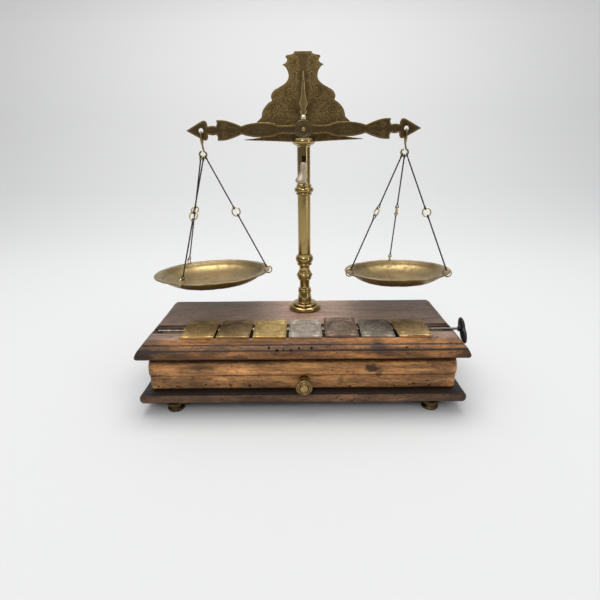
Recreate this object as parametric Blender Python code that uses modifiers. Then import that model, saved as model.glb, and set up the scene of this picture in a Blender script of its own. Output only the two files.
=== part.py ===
"""Coin balance on a drawer box, built as separate solids.

Metres, +Z up, +X to the right of the box, +Y to its back. The object stands on Z = 0,
and the middle of its bounding box is over the world origin.
All sizes below are in millimetres and are turned into metres by the helpers.
"""
import math

import bmesh
import bpy
import numpy as np
from mathutils import Matrix, Vector

MM = 0.001
GAP = 0.3                      # clearance between neighbouring solids

# ---- driving dimensions (mm, from the middle of the box) ----
TOP_HALF_X = 145.0             # flat top of the top board
TOP_HALF_Y = 56.0
TOP_Z0 = 56.0
TOP_Z1 = 69.0
LIP = 7.6                      # moulding beyond the flat top
BASE_HALF_X = 152.8
BASE_HALF_Y = 64.0
BASE_Z0 = 9.9
BASE_Z1 = 19.9
CASE_HALF_X = 143.0
FRONT_HALF_X = 144.3
DRAWER_Z0 = 21.2
GROOVE_Y0 = -32.0
GROOVE_Y1 = -12.0
GROOVE_Z = 64.4
RECESS_Y0 = -44.6              # wider trough under the weights
ROD_Y = -22.0
ROD_Z = 67.1
ROD_R = 1.25
WING_X = 157.0
WING_T = 3.5
WEIGHT_W = 31.0
WEIGHT_D = 38.5
WEIGHT_T = 2.4
WEIGHT_PITCH = 34.0
WEIGHT_MID_X = 3.4
WEIGHT_Y = -26.8
KNOB_X = 1.6
KNOB_Z = 28.5
KNOB_FRONT_Y = -68.9
COL_X = 3.2                    # column axis
COL_Y = 33.2
BORE_R = 3.6
PIVOT_Z = 252.3                # beam pivot
ARM = 98.4                     # pivot to each hanging hole
BEAM_T = 2.2
CHEEK_R = 8.65
RIM_Z = 113.0
PAN_T = {"left": 1.1, "right": 1.35}   # the smaller pan is thicker, so both weigh the same
PAN_R = {"left": 60.9, "right": 55.1}
PAN_PITCH = {"left": 3.5, "right": 4.6}    # degrees, front up
PAN_ROLL = {"left": 1.4, "right": 1.3}     # degrees, left down
PAN_HOLES = {"left": (352.0, 129.0, 253.5), "right": (322.0, 86.0, 198.5)}
WIRE_R = 0.6
RING_R = 4.2
RING_WIRE = 0.55
RIM_RING_R = 3.9
EYE_R = 1.6
TOP_EYE_R = 2.3
HOOK_R = 0.9
HOOK_LOOP_R = 3.4
HOOK_LOOP_Z = 230.5
UPPER_LEN = {"left": (54.3, 55.8, 54.3), "right": (54.3, 56.8, 54.3)}

LEFT_EDGE = COL_X - ARM - PAN_R["left"]
RIGHT_EDGE = WING_X + WING_T / 2
FRONT_EDGE = KNOB_FRONT_Y
BACK_EDGE = COL_Y + PAN_R["left"] * math.cos(math.radians(PAN_PITCH["left"]))
BX = -(LEFT_EDGE + RIGHT_EDGE) / 2
BY = -(FRONT_EDGE + BACK_EDGE) / 2

for old in list(bpy.data.objects):
    bpy.data.objects.remove(old, do_unlink=True)

SCENE = bpy.context.scene
PARTS = bpy.data.collections.new("coin_balance")
CUTTERS = bpy.data.collections.new("cutters")
SCENE.collection.children.link(PARTS)
SCENE.collection.children.link(CUTTERS)

LOOKS = {
    "wood": ((0.22, 0.13, 0.08), 0.0, 0.55),
    "front_wood": ((0.42, 0.22, 0.09), 0.0, 0.5),
    "inner_wood": ((0.45, 0.31, 0.18), 0.0, 0.7),
    "brass": ((0.50, 0.38, 0.16), 1.0, 0.32),
    "dark_brass": ((0.24, 0.19, 0.09), 1.0, 0.42),
    "tin": ((0.45, 0.44, 0.43), 1.0, 0.4),
    "copper": ((0.33, 0.23, 0.18), 1.0, 0.42),
    "wire": ((0.06, 0.055, 0.05), 1.0, 0.5),
    "iron": ((0.05, 0.045, 0.045), 0.6, 0.5),
    "steel": ((0.16, 0.14, 0.13), 1.0, 0.4),
    "bronze": ((0.55, 0.40, 0.30), 1.0, 0.35),
}


def world(p):
    """A point in box millimetres as a world point in metres."""
    return Vector(((BX + p[0]) * MM, (BY + p[1]) * MM, p[2] * MM))


def make_material(name, look):
    colour, metal, rough = LOOKS[look]
    mat = bpy.data.materials.new(name + "_mat")
    mat.use_nodes = True
    shader = mat.node_tree.nodes["Principled BSDF"]
    shader.inputs["Base Color"].default_value = (*colour, 1.0)
    shader.inputs["Metallic"].default_value = metal
    shader.inputs["Roughness"].default_value = rough
    return mat


def add(name, bm, origin, look, smooth=False, turn=None, group=PARTS):
    """Makes an object of bm, whose vertices are in mm from origin (box mm)."""
    bmesh.ops.recalc_face_normals(bm, faces=bm.faces)
    for v in bm.verts:
        v.co *= MM
    mesh = bpy.data.meshes.new(name)
    bm.to_mesh(mesh)
    bm.free()
    obj = bpy.data.objects.new(name, mesh)
    obj.location = world(origin)
    if turn is not None:
        obj.rotation_euler = turn
    group.objects.link(obj)
    if look:
        mesh.materials.append(make_material(name, look))
    if smooth:
        for face in mesh.polygons:
            face.use_smooth = True
        mesh.set_sharp_from_angle(angle=math.radians(40))
    return obj


def cutter(name, bm, origin, turn=None):
    obj = add(name, bm, origin, None, turn=turn, group=CUTTERS)
    obj.hide_render = True
    obj.display_type = "WIRE"
    return obj


def boolean(obj, tool, kind="DIFFERENCE"):
    mod = obj.modifiers.new(tool.name, "BOOLEAN")
    mod.operation = kind
    mod.solver = "EXACT"
    mod.object = tool
    return mod


def box(x0, x1, y0, y1, z0, z1, bevel=0.0):
    bm = bmesh.new()
    bmesh.ops.create_cube(bm, size=1.0)
    for v in bm.verts:
        v.co.x = x1 if v.co.x > 0 else x0
        v.co.y = y1 if v.co.y > 0 else y0
        v.co.z = z1 if v.co.z > 0 else z0
    if bevel:
        bmesh.ops.bevel(bm, geom=bm.edges[:], offset=bevel, segments=2, profile=0.5, affect="EDGES")
    return bm


def cylinder(r, a, b, sides=24, axis="Z"):
    """A cylinder about the named axis from a to b."""
    bm = bmesh.new()
    bmesh.ops.create_cone(bm, cap_ends=True, segments=sides, radius1=r, radius2=r, depth=b - a)
    bmesh.ops.translate(bm, verts=bm.verts, vec=(0, 0, (a + b) / 2))
    if axis == "X":
        bmesh.ops.rotate(bm, verts=bm.verts, matrix=Matrix.Rotation(math.pi / 2, 3, "Y"))
    if axis == "Y":
        bmesh.ops.rotate(bm, verts=bm.verts, matrix=Matrix.Rotation(-math.pi / 2, 3, "X"))
    return bm


def loft(rings, closed=False):
    """Joins rings of equally many points; the ends are capped unless closed."""
    bm = bmesh.new()
    rows = [[bm.verts.new(p) for p in ring] for ring in rings]
    n = len(rows[0])
    pairs = list(zip(rows, rows[1:]))
    if closed:
        pairs.append((rows[-1], rows[0]))
    for low, high in pairs:
        for i in range(n):
            j = (i + 1) % n
            bm.faces.new((low[i], low[j], high[j], high[i]))
    if not closed:
        bm.faces.new(rows[0])
        bm.faces.new(list(reversed(rows[-1])))
    return bm


def turned(name, profile, origin, look, steps=32, axis="Z", turn=None):
    """Turns (radius, height) pairs, top to bottom down the outer side, about origin."""
    bm = bmesh.new()
    verts = [bm.verts.new((r, 0.0, z)) for r, z in profile]
    for a, b in zip(verts, verts[1:]):
        bm.edges.new((a, b))
    if profile[0][0] > 0:
        bm.edges.new((verts[-1], verts[0]))
    obj = add(name, bm, origin, look, turn=turn)
    if axis == "Y":
        obj.rotation_euler = (math.pi / 2, 0.0, 0.0)
    mod = obj.modifiers.new("turn", "SCREW")
    mod.axis = "Z"
    mod.angle = math.tau
    mod.steps = steps
    mod.render_steps = steps
    mod.use_merge_vertices = True
    mod.merge_threshold = 0.00005
    mod.use_normal_calculate = True
    mod.use_smooth_shade = True
    return obj


def plate(points, y0, y1):
    """A flat outline of (x, z) pairs, extruded from y0 to y1."""
    return loft([[(x, y0, z) for x, z in points], [(x, y1, z) for x, z in points]])


def smooth_line(points, steps=3):
    """Rounds a line of (x, z) or (x, z, 1) points; those with the 1 stay sharp."""
    out = []
    last = len(points) - 1
    for i in range(last):
        p1 = np.array(points[i][:2], float)
        p2 = np.array(points[i + 1][:2], float)
        sharp1 = len(points[i]) > 2 or i == 0
        sharp2 = len(points[i + 1]) > 2 or i + 1 == last
        m1 = (p2 - p1) if sharp1 else (p2 - np.array(points[i - 1][:2], float)) / 2
        m2 = (p2 - p1) if sharp2 else (np.array(points[i + 2][:2], float) - p1) / 2
        for k in range(steps):
            t = k / steps
            h1 = 2 * t**3 - 3 * t**2 + 1
            h2 = t**3 - 2 * t**2 + t
            h3 = -2 * t**3 + 3 * t**2
            h4 = t**3 - t**2
            out.append(tuple(h1 * p1 + h2 * m1 + h3 * p2 + h4 * m2))
    out.append(tuple(np.array(points[-1][:2], float)))
    return out


def sweep(path, radius, sides=6, closed=False, start=None):
    """A round wire of the given radius along the path, in the path's own units."""
    pts = [Vector(p) for p in path]
    count = len(pts)
    rings = []
    side = Vector(start) if start is not None else None
    for i, p in enumerate(pts):
        if closed:
            tangent = (pts[(i + 1) % count] - pts[i - 1]).normalized()
        else:
            tangent = (pts[min(i + 1, count - 1)] - pts[max(i - 1, 0)]).normalized()
        if side is None:
            side = tangent.orthogonal()
        side = (side - tangent * side.dot(tangent)).normalized()
        up = tangent.cross(side)
        rings.append([p + radius * (math.cos(a) * side + math.sin(a) * up)
                      for a in (math.tau * k / sides for k in range(sides))])
    return loft(rings, closed)


def eye(centre, out, normal, r, lead, steps=9):
    """Points of an open eye: from its free end round to the shaft, which leaves along out."""
    side = normal.cross(out).normalized()
    pts = []
    for k in range(steps + 1):
        a = math.radians(62 + (312 - 62) * k / steps)
        pts.append(centre + r * (math.cos(a) * out + math.sin(a) * side))
    pts.append(centre + (r + lead * 0.55) * out - 0.22 * r * side)
    pts.append(centre + (r + lead * 1.6) * out)
    return pts


# ---- box on feet ----
def board(name, half_x, half_y, edge, look):
    """A board whose edge profile is (outward, height) pairs from top to bottom."""
    rings = []
    for out, z in reversed(edge):
        hx = half_x + out
        hy = half_y + out
        rings.append([(-hx, -hy, z), (hx, -hy, z), (hx, hy, z), (-hx, hy, z)])
    return add(name, loft(rings), (0, 0, 0), look)


TOP_EDGE = [(0.0, TOP_Z1), (0.5, 68.4), (0.7, 67.5), (2.4, 67.2), (4.6, 66.2), (6.4, 64.3), (7.4, 61.8),
            (LIP, 59.4), (7.0, 57.3), (5.6, TOP_Z0)]
top_board = board("top_board", TOP_HALF_X, TOP_HALF_Y, TOP_EDGE, "wood")
groove = cutter("cut_groove", box(-170, 170, GROOVE_Y0, GROOVE_Y1, GROOVE_Z, 80), (0, 0, 0))
boolean(top_board, groove)
recess_x = 3.5 * WEIGHT_PITCH
recess = box(WEIGHT_MID_X - recess_x, WEIGHT_MID_X + recess_x, RECESS_Y0, GROOVE_Y1 - 1.0, GROOVE_Z, 80)
boolean(top_board, cutter("cut_recess", recess, (0, 0, 0)))
stud_hole = cutter("cut_stud_hole", cylinder(3.0, 50, 80), (COL_X, COL_Y, 0))
boolean(top_board, stud_hole)

BASE_EDGE = [(-3.6, BASE_Z1), (-1.4, 19.3), (-0.2, 17.6), (0.0, 14.9), (-0.3, 12.4), (-1.5, 10.5),
             (-3.2, BASE_Z0)]
board("base_board", BASE_HALF_X, BASE_HALF_Y, BASE_EDGE, "wood")

for side, sx in (("left", -1), ("right", 1)):
    x0, x1 = sorted((sx * CASE_HALF_X, sx * 133.0))
    add("case_" + side, box(x0, x1, -46.2, 54.0, BASE_Z1 + GAP, TOP_Z0 - GAP, 0.6), (0, 0, 0), "wood")
add("case_back", box(-132.7, 132.7, 45.0, 54.0, BASE_Z1 + GAP, TOP_Z0 - GAP, 0.6), (0, 0, 0), "wood")

FOOT = [(0.0, 9.6), (8.6, 9.6), (9.3, 8.7), (9.3, 7.5), (8.4, 6.8), (6.6, 6.2), (5.9, 5.0), (6.3, 3.6),
        (7.6, 2.6), (8.0, 1.4), (7.4, 0.3), (6.6, 0.0), (0.0, 0.0)]
for row, y in (("front", -54.0), ("back", 54.0)):
    for side, x in (("left", -122.6), ("right", 122.6)):
        turned("foot_%s_%s" % (row, side), FOOT, (x, y, 0), "brass", 14)

# ---- drawer ----
DRAWER_AT = (0, -46.5, DRAWER_Z0)
FRONT_SECTION = [(-46.5, 20.6), (-53.4, 20.6), (-54.6, 21.8), (-54.6, 34.7), (-53.9, 35.2), (-53.9, 36.0),
                 (-56.3, 36.8), (-57.0, 39.4), (-56.7, 43.0), (-55.2, 46.6), (-52.6, 48.9), (-50.0, 49.6),
                 (-46.5, 49.6)]


def front_ring(x, inset):
    ring = []
    for y, z in FRONT_SECTION:
        depth = max(0.0, (-46.5 - y) / 10.5)
        z_in = inset * 0.35 * (1 if z < 35 else -1) if depth == 0 else inset * 0.35 * (28 - z) / 28
        ring.append((x - DRAWER_AT[0], y + inset * depth - DRAWER_AT[1], z + z_in * 0.4 - DRAWER_AT[2]))
    return ring


front_rings = []
for x, inset in ((-1.0, 3.4), (-0.996, 2.0), (-0.989, 0.7), (-0.977, 0.0)):
    front_rings.append(front_ring(x * FRONT_HALF_X, inset))
for x, inset in ((0.977, 0.0), (0.989, 0.7), (0.996, 2.0), (1.0, 3.4)):
    front_rings.append(front_ring(x * FRONT_HALF_X, inset))
drawer_front = add("drawer_front", loft(front_rings), DRAWER_AT, "front_wood")
knob_hole = cutter("cut_knob_hole", cylinder(2.6, -60, -40, axis="Y"), (KNOB_X, 0, KNOB_Z))
boolean(drawer_front, knob_hole)


def drawer_box(name, x0, x1, y0, y1, z0, z1):
    ox, oy, oz = DRAWER_AT
    bm = box(x0 - ox, x1 - ox, y0 - oy, y1 - oy, z0 - oz, z1 - oz, 0.5)
    return add(name, bm, DRAWER_AT, "inner_wood")


drawer_box("drawer_left", -132.0, -125.5, -46.2, 41.0, DRAWER_Z0, 47.0)
drawer_box("drawer_right", 125.5, 132.0, -46.2, 41.0, DRAWER_Z0, 47.0)
drawer_box("drawer_back", -125.2, 125.2, 34.5, 41.0, DRAWER_Z0, 47.0)
drawer_box("drawer_bottom", -125.2, 125.2, -46.2, 34.2, DRAWER_Z0, 24.0)

KNOB = [(0.0, 14.0), (2.6, 14.0), (3.4, 13.6), (4.2, 13.9), (4.9, 13.5), (5.4, 12.9), (7.2, 12.9),
        (7.75, 12.3), (7.75, 9.2), (7.1, 8.5), (5.2, 7.7), (4.1, 6.2), (4.2, 4.6), (6.3, 3.6), (6.6, 2.8),
        (6.6, 0.0), (2.3, 0.0), (2.3, -8.1), (0.0, -8.1)]
knob = turned("drawer_knob", KNOB, (KNOB_X, KNOB_FRONT_Y + 14.0, KNOB_Z), "brass", 18, axis="Y")

# ---- column ----
BASE_TURN = [(0.0, 131.0), (6.3, 131.0), (7.0, 129.8), (8.8, 127.6), (9.3, 125.2), (8.9, 122.8), (7.4, 120.8),
             (7.4, 119.6), (8.1, 118.6), (7.9, 117.3), (6.1, 116.2), (5.4, 114.6), (5.4, 112.9), (6.2, 111.4),
             (6.9, 110.2), (8.3, 108.4), (8.4, 106.2), (7.4, 104.2), (6.8, 102.6), (5.8, 101.3), (5.4, 99.4),
             (5.4, 95.2), (5.9, 91.4), (6.9, 89.6), (7.0, 87.4), (6.4, 86.0), (7.2, 82.0), (8.4, 77.4),
             (10.4, 75.8), (13.2, 75.2), (13.6, 74.0), (16.4, 73.6), (17.3, 72.4), (17.3, 70.2),
             (16.8, 69.3), (2.7, 69.3), (2.7, 50.8), (0.0, 50.8)]
turned("column_base", BASE_TURN, (COL_X, COL_Y, 0), "brass", 20)
nut = cylinder(5.6, 51.2, 55.7, sides=6)
column_nut = add("column_nut", nut, (COL_X, COL_Y, 0), "brass")
boolean(column_nut, cutter("cut_nut_bore", cylinder(3.05, 45, 60, 20), (COL_X, COL_Y, 0)))

TUBE = [(BORE_R, 236.7), (6.4, 236.7), (6.4, 201.4), (7.4, 200.8), (7.6, 199.6), (7.0, 198.6), (8.8, 197.6),
        (9.6, 196.0), (9.0, 194.4), (7.2, 193.6), (7.8, 192.6), (7.5, 191.4), (6.45, 190.6), (6.45, 131.3),
        (BORE_R, 131.3)]
tube = turned("column_tube", TUBE, (COL_X, COL_Y, 0), "brass", 20)
SLOT_Z0 = 203.5
SLOT_Z1 = 228.6
slot = cutter("cut_tube_slot", box(-1.7, 1.7, -9, -2, SLOT_Z0, SLOT_Z1), (COL_X, COL_Y, 0))
boolean(tube, slot)

COLLAR_TOP = 244.7
COLLAR = [(BORE_R, COLLAR_TOP), (10.6, COLLAR_TOP), (11.0, 244.2), (11.0, 242.6), (10.0, 241.4), (8.3, 240.2),
          (7.0, 238.8), (6.4, 237.0), (BORE_R, 237.0)]
collar = turned("top_collar", COLLAR, (COL_X, COL_Y, 0), "brass", 20)
pocket = cutter("cut_fork_pocket", box(-4.8, 4.8, -4.9, 4.9, 241.0, 250), (COL_X, COL_Y, 0))
boolean(collar, pocket)
notch = cutter("cut_bar_notch", box(-20, 20, 6.2, 20, 241.0, 250), (COL_X, COL_Y, 0))
boolean(collar, notch)

# ---- lifting parts ----
LIFT_AT = (COL_X, COL_Y, 220.0)
rod_bm = cylinder(3.1, 196.5 - LIFT_AT[2], 240.4 - LIFT_AT[2], 24)
lift_rod = add("lift_rod", rod_bm, LIFT_AT, "steel", smooth=True)
boolean(lift_rod, cutter("cut_rod_pin", cylinder(1.5, -5, 0.4, 16, "Y"), (COL_X, COL_Y, 214.0)))
boolean(lift_rod, cutter("cut_rod_top", cylinder(1.7, 236, 245, 16), (COL_X, COL_Y, 0)))

LEVER = [(223.2, -0.4, 0.8, -8.3, 1.0), (222.4, -0.4, 2.5, -8.4, 1.5), (220.2, -0.4, 3.4, -8.7, 1.8),
         (217.0, -0.5, 3.2, -9.0, 1.9), (213.6, -0.9, 3.1, -9.2, 1.9), (210.4, -1.7, 4.1, -9.6, 2.1),
         (207.4, -2.5, 5.7, -10.2, 2.5), (205.4, -2.6, 6.2, -10.6, 2.7), (203.6, -2.2, 4.6, -10.8, 2.4),
         (202.6, -1.6, 1.8, -10.8, 1.3)]
lever_rings = []
for z, cx, rx, cy, ry in LEVER:
    lever_rings.append([(cx + rx * math.cos(a), cy + ry * math.sin(a), z - LIFT_AT[2])
                        for a in (math.tau * k / 12 for k in range(12))])
lever = add("lift_lever", loft(lever_rings), LIFT_AT, "bronze", smooth=True)
stem = cutter("lever_stem", cylinder(1.2, -9.0, 0.0, 16, "Y"), (COL_X, COL_Y, 214.0))
boolean(lever, stem, "UNION")

CHEEK_Y = 2.4
CHEEK_T = 2.2
FORK_AT = (COL_X, COL_Y, PIVOT_Z)
fork = add("fork", cylinder(CHEEK_R, -CHEEK_Y - CHEEK_T, -CHEEK_Y, 24, "Y"), FORK_AT, "brass", smooth=True)
rear = cutter("fork_rear_cheek", cylinder(CHEEK_R, CHEEK_Y, CHEEK_Y + CHEEK_T, 24, "Y"), FORK_AT)
boolean(fork, rear, "UNION")
bridge_z = PIVOT_Z - 7.0
bridge = box(-4.4, 4.4, -CHEEK_Y - CHEEK_T + 0.05, CHEEK_Y + CHEEK_T - 0.05, 241.3 - PIVOT_Z, -6.4)
boolean(fork, cutter("fork_bridge", bridge, FORK_AT), "UNION")
boolean(fork, cutter("fork_stem", cylinder(1.4, 236.4 - PIVOT_Z, 243.0 - PIVOT_Z, 16), FORK_AT), "UNION")
boolean(fork, cutter("cut_fork_pin", cylinder(2.45, -8, 8, 16, "Y"), FORK_AT))

# ---- rest bar, crest and their screw ----
BAR_Y0 = 6.5
BAR_Y1 = 8.1
CREST_Y0 = 8.4
CREST_Y1 = 9.8
BAR_HALF = [(0.0, -2.6), (8.0, -2.6), (18.0, -3.2), (28.0, -4.8), (37.0, -6.6), (48.0, -7.7), (57.8, -8.2, 1),
            (57.8, -8.9, 1), (50.0, -9.3), (38.0, -9.7), (24.0, -10.3), (12.0, -10.9), (0.0, -11.0)]
half = smooth_line(BAR_HALF, 1)
outline = half + [(-x, z) for x, z in reversed(half[1:-1])]
rest_bar = add("rest_bar", plate(outline, BAR_Y0, BAR_Y1), (COL_X, COL_Y, PIVOT_Z), "dark_brass")

CREST_HALF = [(0.0, 67.3), (7.8, 67.3, 1), (8.9, 65.6), (11.8, 64.7), (15.2, 64.3, 1), (16.3, 62.8, 1),
              (15.0, 61.2), (14.7, 59.8), (16.2, 58.0), (19.4, 56.5, 1), (16.6, 54.6), (14.6, 51.6),
              (13.7, 48.4), (13.8, 45.4), (15.4, 42.6), (18.8, 39.8), (23.8, 37.2), (28.0, 34.8),
              (30.4, 31.4), (30.6, 28.4), (29.9, 26.3, 1), (33.2, 24.4), (36.6, 21.2), (39.2, 17.4),
              (40.2, 13.8), (40.4, 11.9, 1), (42.2, 10.2), (45.6, 7.2, 1), (44.6, 3.6), (40.0, 0.6),
              (32.0, -1.0), (20.0, -1.6), (9.0, -2.4, 1), (5.2, -6.0), (4.8, -11.0, 1), (0.0, -11.0)]
half = smooth_line(CREST_HALF, 2)
outline = half + [(-x, z) for x, z in reversed(half[1:-1])]
crest = add("crest_plate", plate(outline, CREST_Y0, CREST_Y1), (COL_X, COL_Y, PIVOT_Z), "dark_brass")
SCREW_Z = -9.2
for obj, tag in ((rest_bar, "bar"), (crest, "crest")):
    boolean(obj, cutter("cut_screw_" + tag, cylinder(1.25, 4, 12, 16, "Y"), (COL_X, COL_Y, PIVOT_Z + SCREW_Z)))
CREST_SCREW = [(0.0, 0.0), (0.9, 0.0), (0.9, -3.4), (2.2, -3.4), (2.2, -4.2), (1.5, -4.9), (0.0, -5.1)]
turned("crest_screw", CREST_SCREW, (COL_X, COL_Y + 6.7, PIVOT_Z + SCREW_Z), "brass", 12, axis="Y")

# ---- beam, pin and pointer ----
BEAM_HALF = [(0.0, 4.4), (10.0, 4.1), (22.6, 3.8), (28.0, 5.6), (33.8, 6.5), (45.8, 6.5), (54.4, 5.2),
             (59.6, 3.7, 1), (64.0, 5.6), (69.2, 7.4), (75.0, 8.9), (80.0, 9.3), (83.0, 8.8), (82.6, 6.4),
             (83.6, 3.8, 1), (87.4, 4.4), (91.8, 3.6, 1), (92.2, 6.6), (93.6, 8.6), (95.4, 8.9),
             (98.6, 7.6), (112.6, 0.0, 1)]
upper = smooth_line(BEAM_HALF, 1)
right = upper + [(x, -z) for x, z in reversed(upper[:-1])]
left = [(-x, z) for x, z in reversed(right)]
outline = right + left[1:-1]
beam = add("beam", plate(outline, -BEAM_T / 2, BEAM_T / 2), (COL_X, COL_Y, PIVOT_Z), "dark_brass")
boolean(beam, cutter("cut_beam_pin", cylinder(2.4, -5, 5, 16, "Y"), (COL_X, COL_Y, PIVOT_Z)))
for side, sx in (("left", -1), ("right", 1)):
    hole = cutter("cut_beam_" + side, cylinder(2.35, -5, 5, 16, "Y"), (COL_X + sx * ARM, COL_Y, PIVOT_Z))
    boolean(beam, hole)
PIN = [(0.0, 5.6), (1.6, 5.6), (2.1, 5.1), (2.1, -5.1), (1.6, -5.6), (0.0, -5.6)]
turned("pivot_pin", PIN, (COL_X, COL_Y, PIVOT_Z), "brass", 16, axis="Y")

POINTER_HALF = [(0.0, 50.8, 1), (1.0, 45.7), (1.5, 38.0), (2.1, 31.0), (3.2, 25.6), (4.2, 22.6, 1),
                (3.1, 20.0), (2.5, 17.6), (3.5, 15.4, 1), (2.4, 13.6), (1.6, 12.2), (1.4, 10.0, 1), (0.0, 10.0)]
half = smooth_line(POINTER_HALF, 1)
outline = half + [(-x, z) for x, z in reversed(half[1:-1])]
pointer = add("pointer", plate(outline, -0.6, 0.6), (COL_X, COL_Y, PIVOT_Z), "dark_brass")
BALL = [(0.0, 13.2), (1.7, 12.7), (2.9, 11.4), (3.1, 10.2), (2.5, 8.7), (1.4, 7.9), (2.0, 7.4), (2.0, 6.7),
        (1.1, 6.2), (1.1, 4.7), (0.0, 4.7)]
ball_rings = []
for r, z in BALL[1:-1]:
    ball_rings.append([(r * math.cos(a), r * math.sin(a), z) for a in (math.tau * k / 14 for k in range(14))])
boolean(pointer, cutter("pointer_ball", loft(ball_rings), (COL_X, COL_Y, PIVOT_Z)), "UNION")

# ---- weights, rod and guides ----
WEIGHT_LOOKS = ("brass", "dark_brass", "brass", "tin", "copper", "steel", "brass")
WEIGHT_TURN = (1.2, -0.8, 0.6, -0.5, 0.0, -1.0, 1.4)
SEAT_Z = TOP_Z1 + GAP
for i in range(7):
    x = WEIGHT_MID_X + WEIGHT_PITCH * (i - 3)
    hx, hy = WEIGHT_W / 2, WEIGHT_D / 2
    bm = box(-hx, hx, -hy, hy, 0, WEIGHT_T, 0.35)
    lifted = i == 4
    turn = (math.radians(3.0) if lifted else 0.0, 0.0, math.radians(WEIGHT_TURN[i]))
    at = (x, WEIGHT_Y + (1.2 if lifted else 0.0), SEAT_Z + (1.1 if lifted else 0.0))
    weight = add("weight_%d" % (i + 1), bm, at, WEIGHT_LOOKS[i], turn=turn)
    for tag, y0, y1 in (("f", -4.3, -1.9), ("b", 1.9, 4.3)):
        dy = ROD_Y - at[1]
        leg = box(-4, 4, dy + y0, dy + y1, -3.4, 0.6, 0.2)
        boolean(weight, cutter("leg_%d_%s" % (i + 1, tag), leg, at, turn=turn), "UNION")

rod_at = (0, ROD_Y, ROD_Z)
add("lock_rod", cylinder(ROD_R, -142.0, 153.2, 16, "X"), rod_at, "steel", smooth=True)
STRIP_Z0 = GROOVE_Z + GAP - ROD_Z
strip = add("rod_guide", box(-138, 139.5, -3.2, 3.2, STRIP_Z0, STRIP_Z0 + 0.75), rod_at, "brass")
EYE_OUT = 3.2
for i in range(8):
    x = WEIGHT_MID_X + WEIGHT_PITCH * (i - 3.5)
    ring = [(0.0 + EYE_OUT * math.cos(a), EYE_OUT * math.sin(a)) for a in
            (math.radians(180 - 30 * k) for k in range(7))]
    ring = [(EYE_OUT, STRIP_Z0 + 0.2), (-EYE_OUT, STRIP_Z0 + 0.2)] + ring
    post = loft([[(-0.7, y, z) for y, z in ring], [(0.7, y, z) for y, z in ring]])
    boolean(strip, cutter("guide_%d" % (i + 1), post, (x, ROD_Y, ROD_Z)), "UNION")
boolean(strip, cutter("cut_guides", cylinder(ROD_R + 0.4, -145, 145, 10, "X"), rod_at))

WING_LONG = 14.0
WING_WIDE = 5.2
wing_pts = []
for k in range(20):
    a = math.tau * k / 20
    y = WING_LONG * math.cos(a)
    pinch = 1.0 - 0.22 * math.exp(-(y / 4.0) ** 2)
    wing_pts.append((y, WING_WIDE * math.sin(a) * pinch))
wing_rings = []
for x, scale in ((-WING_T / 2, 0.78), (-WING_T / 2 + 0.7, 0.95), (0.0, 1.0), (WING_T / 2 - 0.7, 0.95),
                 (WING_T / 2, 0.78)):
    wing_rings.append([(x, y * scale, z * scale) for y, z in wing_pts])
wing_at = (WING_X, ROD_Y, ROD_Z)
wing_shift = Vector((0.0, -3.0, -0.5))
wing_bm = loft(wing_rings)
bmesh.ops.rotate(wing_bm, verts=wing_bm.verts, matrix=Matrix.Rotation(math.radians(40), 3, "X"))
bmesh.ops.translate(wing_bm, verts=wing_bm.verts, vec=wing_shift)
wing = add("rod_wing", wing_bm, wing_at, "iron", smooth=True)
boss = cutter("wing_boss", cylinder(2.6, -3.4, 0.5, 16, "X"), wing_at)
boolean(wing, boss, "UNION")


# ---- hooks, wires, rings and pans ----
def pan_turn(side):
    return Matrix.Rotation(math.radians(-PAN_ROLL[side]), 3, "Y") @ Matrix.Rotation(
        math.radians(-PAN_PITCH[side]), 3, "X")


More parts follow.
